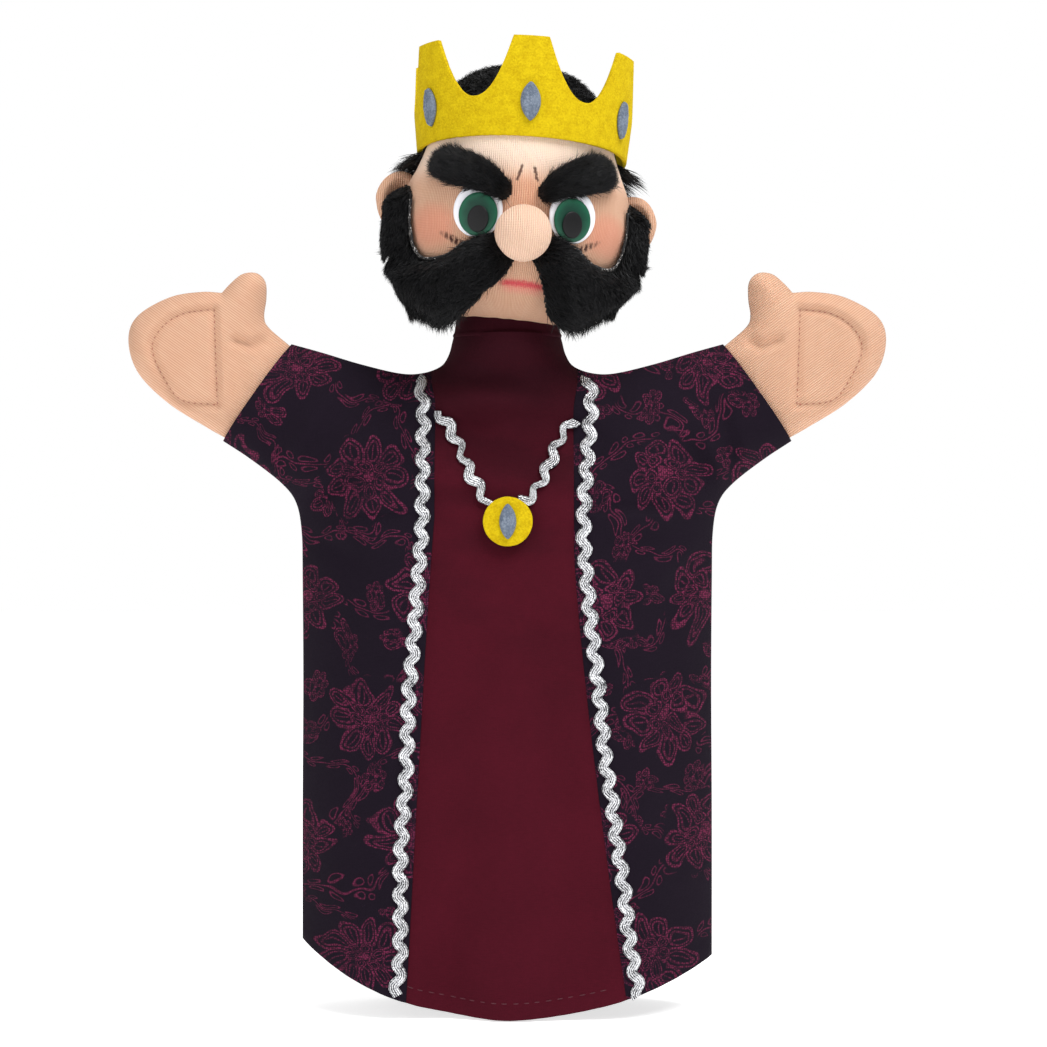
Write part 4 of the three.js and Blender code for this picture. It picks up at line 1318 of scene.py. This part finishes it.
def backing_edge(word, s):
    """The knitted ground shows as a narrow speckled line along the cut edge by the cheek."""
    route = spline([(16.5, 35.6), (22.3, 31.5), (28.5, 31.0), (31.8, 35.5), (33.0, 42),
                    (33.2, 49)], 0.5)
    tangent = unit(np.gradient(route, axis=0))
    toward = cols(-tangent[:, 1], tangent[:, 0])
    rows = []
    for share, out in ((-0.9, 0.1), (-0.6, 0.75), (0.0, 0.95), (0.7, 0.75), (1.05, -0.1)):
        edge = route + toward * share * 0.5
        ragged = noise(edge, 1.1, 61)[:, None] * 0.22
        edge = edge + toward * ragged * (share > 0)
        y = front_y(edge[:, 0], edge[:, 1], DRAPE, out)
        rows.append(cols(s * edge[:, 0], y, edge[:, 1]))
    points = np.stack(rows, 1).reshape(-1, 3)
    strip = build(f"{word}_whisker_edge", head(points), grid_faces(len(route), 5), BACKING,
                  local=points)
    settle_on(strip, "head", "black_plush")


for word, s in SIDES:
    whiskers(word, s)
    backing_edge(word, s)


def eyebrow(word, s):
    rng = np.random.default_rng(200 + s)
    points, faces = pelt(SKULL, spline(BROW, 1.0)[:-1], s, 2.2, 3.5)
    points = points + (0, -0.9, 0)
    plush_pad(f"{word}_eyebrow_pad", points, faces, 0.8, f"{word}_eyebrow")
    spots, normals = scatter(points, faces, BROW_HAIRS, rng)
    x = abs(spots[:, 0])
    comb = cols(s * 0.9, 0.0, 0.25 + 0.4 * smooth((x - 12) / 15))
    length = 3.6 + 1.2 * smooth((x - 10) / 12)
    blades(f"{word}_eyebrow_pile", spots, normals, comb, length, 0.18, 0.62, rng, 2.4)


for word, s in SIDES:
    eyebrow(word, s)

HAIR = np.array([(-40, 96), (-40, 73), (-7, 71), (-4, 61.5), (8, 60.5), (10, 42), (8, 24),
                 (14, 18), (42, 18), (42, 96)], float)


HAIR_UNDER, HAIR_OVER = 65.5, 80.0


def hair_cap():
    """Hair over the back and the crown of the head, cropped short under the felt band."""
    rng = np.random.default_rng(300)
    columns = 150
    turn = circle(columns)
    r, z = SKULL[SKULL[:, 1] > 17].T[:, :, None]
    grown = r + mix(1.6, 0.55, smooth((z - 60) / 5) * smooth((88 - z) / 5))
    top = z + 1.4 * smooth((z - 84) / 6)
    points = cols(grown * np.sin(turn), -HEAD_DEPTH * grown * np.cos(turn), top).reshape(-1, 3)
    faces = grid_faces(len(z), columns, True)
    keep = inside(points[:, 1:], HAIR)[faces].all(1)
    points, faces = used_only(points, faces[keep])
    plush_pad("hair_pad", points, faces, 0.5, "hair_cap")
    spots, normals = scatter(points, faces, HAIR_HAIRS, rng)
    z = spots[:, 2]
    banded = (z >= HAIR_UNDER) & (z <= HAIR_OVER)
    keep = ~banded | (rng.uniform(0, 1, len(z)) < 0.25)
    spots, normals, banded = spots[keep], normals[keep], banded[keep]
    x, y, z = spots.T
    comb = cols(x * 0.012, y * 0.01, -1 + 1.2 * smooth((z - 78) / 8))
    length = np.where(banded, 1.0, np.where(z > HAIR_OVER, 3.4, 6.0))
    length = length + 3.2 * smooth((z - 52) / 8) * (z < HAIR_UNDER)
    blades("hair_pile", spots, normals, comb, length, 0.22, 0.58, rng)


hair_cap()

# ---------------------------------------------------------------- crown


def crown():
    columns, rows = 432, 26
    step = TAU / CROWN_POINTS
    seam = math.pi + step / 2
    angle = np.linspace(seam + 0.006, seam + TAU - 0.006, columns)
    off_point = abs((angle + step / 2) % step - step / 2)
    down = clamp01((off_point - CROWN_TIP) / (step / 2 - CROWN_TIP))
    top = mix(CROWN_BAND, CROWN_PEAK, (1 - down) ** 2.2)
    v = np.linspace(0, 1, rows)[:, None]
    height = top * v
    wobble = noise(cols(angle * 8, 0.0), 3.0, 9) * 0.35
    radius = CROWN_RADIUS + CROWN_FLARE * height / CROWN_PEAK + wobble * v
    points = crown_points(angle, height, radius).reshape(-1, 3)
    points = points + noise(points, 0.8, 14)[:, None] * 0.035
    local = cols(angle * 31, 0.0, height).reshape(-1, 3)
    band = build("crown_felt", head(points), grid_faces(rows, columns), YELLOW, local=local)
    thicken(band, FELT)
    bevel = band.modifiers.new("edge", "BEVEL")
    bevel.width = 0.25 * MM
    bevel.segments = 2
    bevel.limit_method = "ANGLE"
    bevel.angle_limit = math.radians(50)
    settle(band)
    band.data.shade_smooth()
    settle_on(band, "head", "yellow_felt", "crown_band")
    for i in range(CROWN_POINTS):
        middle = i * step

        def place(p, middle=middle):
            around = middle + p[:, 0] / CROWN_RADIUS
            h = 10.2 + p[:, 2]
            r = CROWN_RADIUS + 0.25 + CROWN_FLARE * h / CROWN_PEAK - p[:, 1]
            return head(crown_points(around, h, r))

        gem(f"crown_stone_{i + 1}", 2.75, 5.75, 1.2, place, f"crown_gem_{i + 1}", "head")


crown()

# ---------------------------------------------------------------- hands

HAND_LOW = [(5, -16.4), (13, -17.1), (20, -17.9), (34, -18.8), (47, -16.6), (55.2, -10.2),
            (57.2, -2.6), (52.6, 7.8), (45.8, 14.8), (40.4, 18.4)]
HAND_HIGH = [(40.4, 18.4), (39.9, 22.5), (38.6, 26.9), (35.2, 29.6), (31.4, 28.9), (28.2, 24.9),
             (25.6, 20.2), (22.4, 18.2), (13, 17.4), (5, 16.6)]
D_LINE = [(89.7, 214.2), (88.7, 184.9), (99.7, 186.4), (105, 193), (108.6, 201.6), (106.3, 207.9),
          (99.7, 212.6), (89.7, 214.2)]


CREASE = np.array([[21.2, 19.0], [20.6, 14.2], [22.4, 10.6], [27.6, 9.2]])


def d_curve():
    """The stitched letter D, along and across the arm."""
    corners = to_arm(np.array(D_LINE, float))
    return np.vstack([resample(corners[:2], 0.8)[:-1], spline(corners[1:], 0.8)])


def hand(word, s):
    """Palm and back of a mitten hand: two padded faces with a quilted D and a thumb crease."""
    low, high = spline(HAND_LOW, 0.9), spline(HAND_HIGH, 0.9)
    rim = np.vstack([low, high[1:]])
    wrist = resample(np.array([high[-1], low[0]]), 0.9)[:-1]
    points, faces = fill(np.vstack([low[:-1], high[:-1], wrist]), 0.95, (0.25, 0.6))
    stitch = d_curve()
    a = points[:, 0]
    edge = distance(points, rim)
    t = clamp01(edge / mix(17.0, 9.0, smooth((a - 13) / 14)))
    fullness = mix(0.8, 0.6, smooth((a - 12) / 12))
    body = mix(6.6, 7.4, smooth((a - 13.5) / 9)) * (1 - (1 - t) ** 2.5) ** fullness
    near = distance(points, stitch)
    within = inside(points, stitch[:-1])
    body = body - 2.0 * bell(near / 1.35) - np.where(within, 0.9 * smooth(near / 3), 0)
    body = body - 2.0 * bell(distance(points, CREASE) / 1.7) * smooth(t * 2)
    body = body + (noise(points, 7, 50 + s) * 0.35 + noise(points, 3, 52) * 0.12) * smooth(t * 2)
    plane, line_plane = from_arm(points, s), from_arm(stitch, s)
    near_at = [int(np.argmin(((points - p) ** 2).sum(1))) for p in stitch]
    for face, sign in (("palm", -1), ("back", 1)):
        y = np.where(edge < 0.02, 0.1, np.maximum(body, THIN)) * sign
        at = cols(plane[:, 0], y, plane[:, 1])
        turn = faces if sign * s < 0 else faces[:, ::-1]
        flat = cols(points[:, 1], 0.0, a)
        made = build(f"{word}_{face}_skin", at, turn, JERSEY, flat=flat, local=at)
        thicken(made, HAND_CLOTH)
        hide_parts(f"{word}_hand_{face}")
        arm_point(s, WRIST_BEND[0])
        arm_point(s, WRIST_BEND[1])
        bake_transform(made)
        raised = np.pad(sign * (abs(y[near_at]) + 0.12), 3, "edge")
        raised = np.convolve(raised, np.ones(7) / 7, "valid")
        stitches(f"{word}_{face}_stitches", cols(line_plane[:, 0], raised, line_plane[:, 1]),
                 (1.15, 0.75, 0.2), THREAD_PINK, f"{word}_hand", "skin_jersey", -0.05 * sign)


for word, s in SIDES:
    hand(word, s)

# ---------------------------------------------------------------- pieces kept from CAD

STUFFED = ("head_core", "nose_core", "left_hand_padding", "right_hand_padding")
for name in ("neck_tube", *STUFFED):
    node = bpy.data.objects[name]
    node.data.materials.clear()
    node.data.materials.append(WADDING if name in STUFFED else CARD)

# ---------------------------------------------------------------- floor, light and camera


AMBIENT = 0.34
LAMPS = (("key", (0.42, -0.5, 1.05), 0.6, 9.5), ("fill", (-0.8, -0.8, 0.4), 0.9, 3.2),
         ("top", (0.1, -0.2, 1.2), 0.8, 5.0))
CAMERA_AT, CAMERA_LENS, AIM_AT = (0.0050, -0.9, 0.1486), 100.5, Vector((0, 0, 0.15))


def add_object(name, data):
    thing = bpy.data.objects.new(name, data)
    bpy.context.scene.collection.objects.link(thing)
    return thing


def stage():
    """A pale floor that fades into a white studio, three soft lamps and the camera."""
    scene = bpy.context.scene
    paint = Paint("studio_floor")
    tone = paint.noise(paint.add("TexCoord", "Object"), 0.4, 2)
    white = paint.finish(Base_Color=paint.blend(tone, (0.86, 0.86, 0.86, 1), (0.9, 0.9, 0.9, 1)),
                         Roughness=0.9, Emission_Color=(1, 1, 1, 1), Emission_Strength=0.71)
    bpy.ops.mesh.primitive_plane_add(size=8, location=(0, 0, -0.0005))
    floor = bpy.context.object
    floor.name = "floor"
    floor.data.materials.append(white)
    scene.world = bpy.data.worlds.new("studio")
    scene.world.use_nodes = True
    tree = scene.world.node_tree
    air = tree.nodes["Background"]
    air.inputs["Color"].default_value = (1, 1, 1, 1)
    ray = tree.nodes.new("ShaderNodeLightPath")
    seen = Value(tree, ray.outputs["Is Camera Ray"]) * (1.0 - AMBIENT) + AMBIENT
    feed(tree, air.inputs["Strength"], seen)
    for name, at, size, power in LAMPS:
        lamp = bpy.data.lights.new(name, "AREA")
        lamp.size = size
        lamp.energy = power
        thing = add_object(name, lamp)
        thing.location = at
        thing.rotation_mode = "QUATERNION"
        thing.rotation_quaternion = (AIM_AT - Vector(at)).to_track_quat("-Z", "Y")
    camera = add_object("camera", bpy.data.cameras.new("camera"))
    camera.data.lens = CAMERA_LENS
    camera.data.sensor_width = 36
    camera.data.clip_end = 50
    camera.location = CAMERA_AT
    camera.rotation_euler = (math.radians(90), 0, 0)
    scene.camera = camera
    scene.view_settings.view_transform = "Standard"


stage()
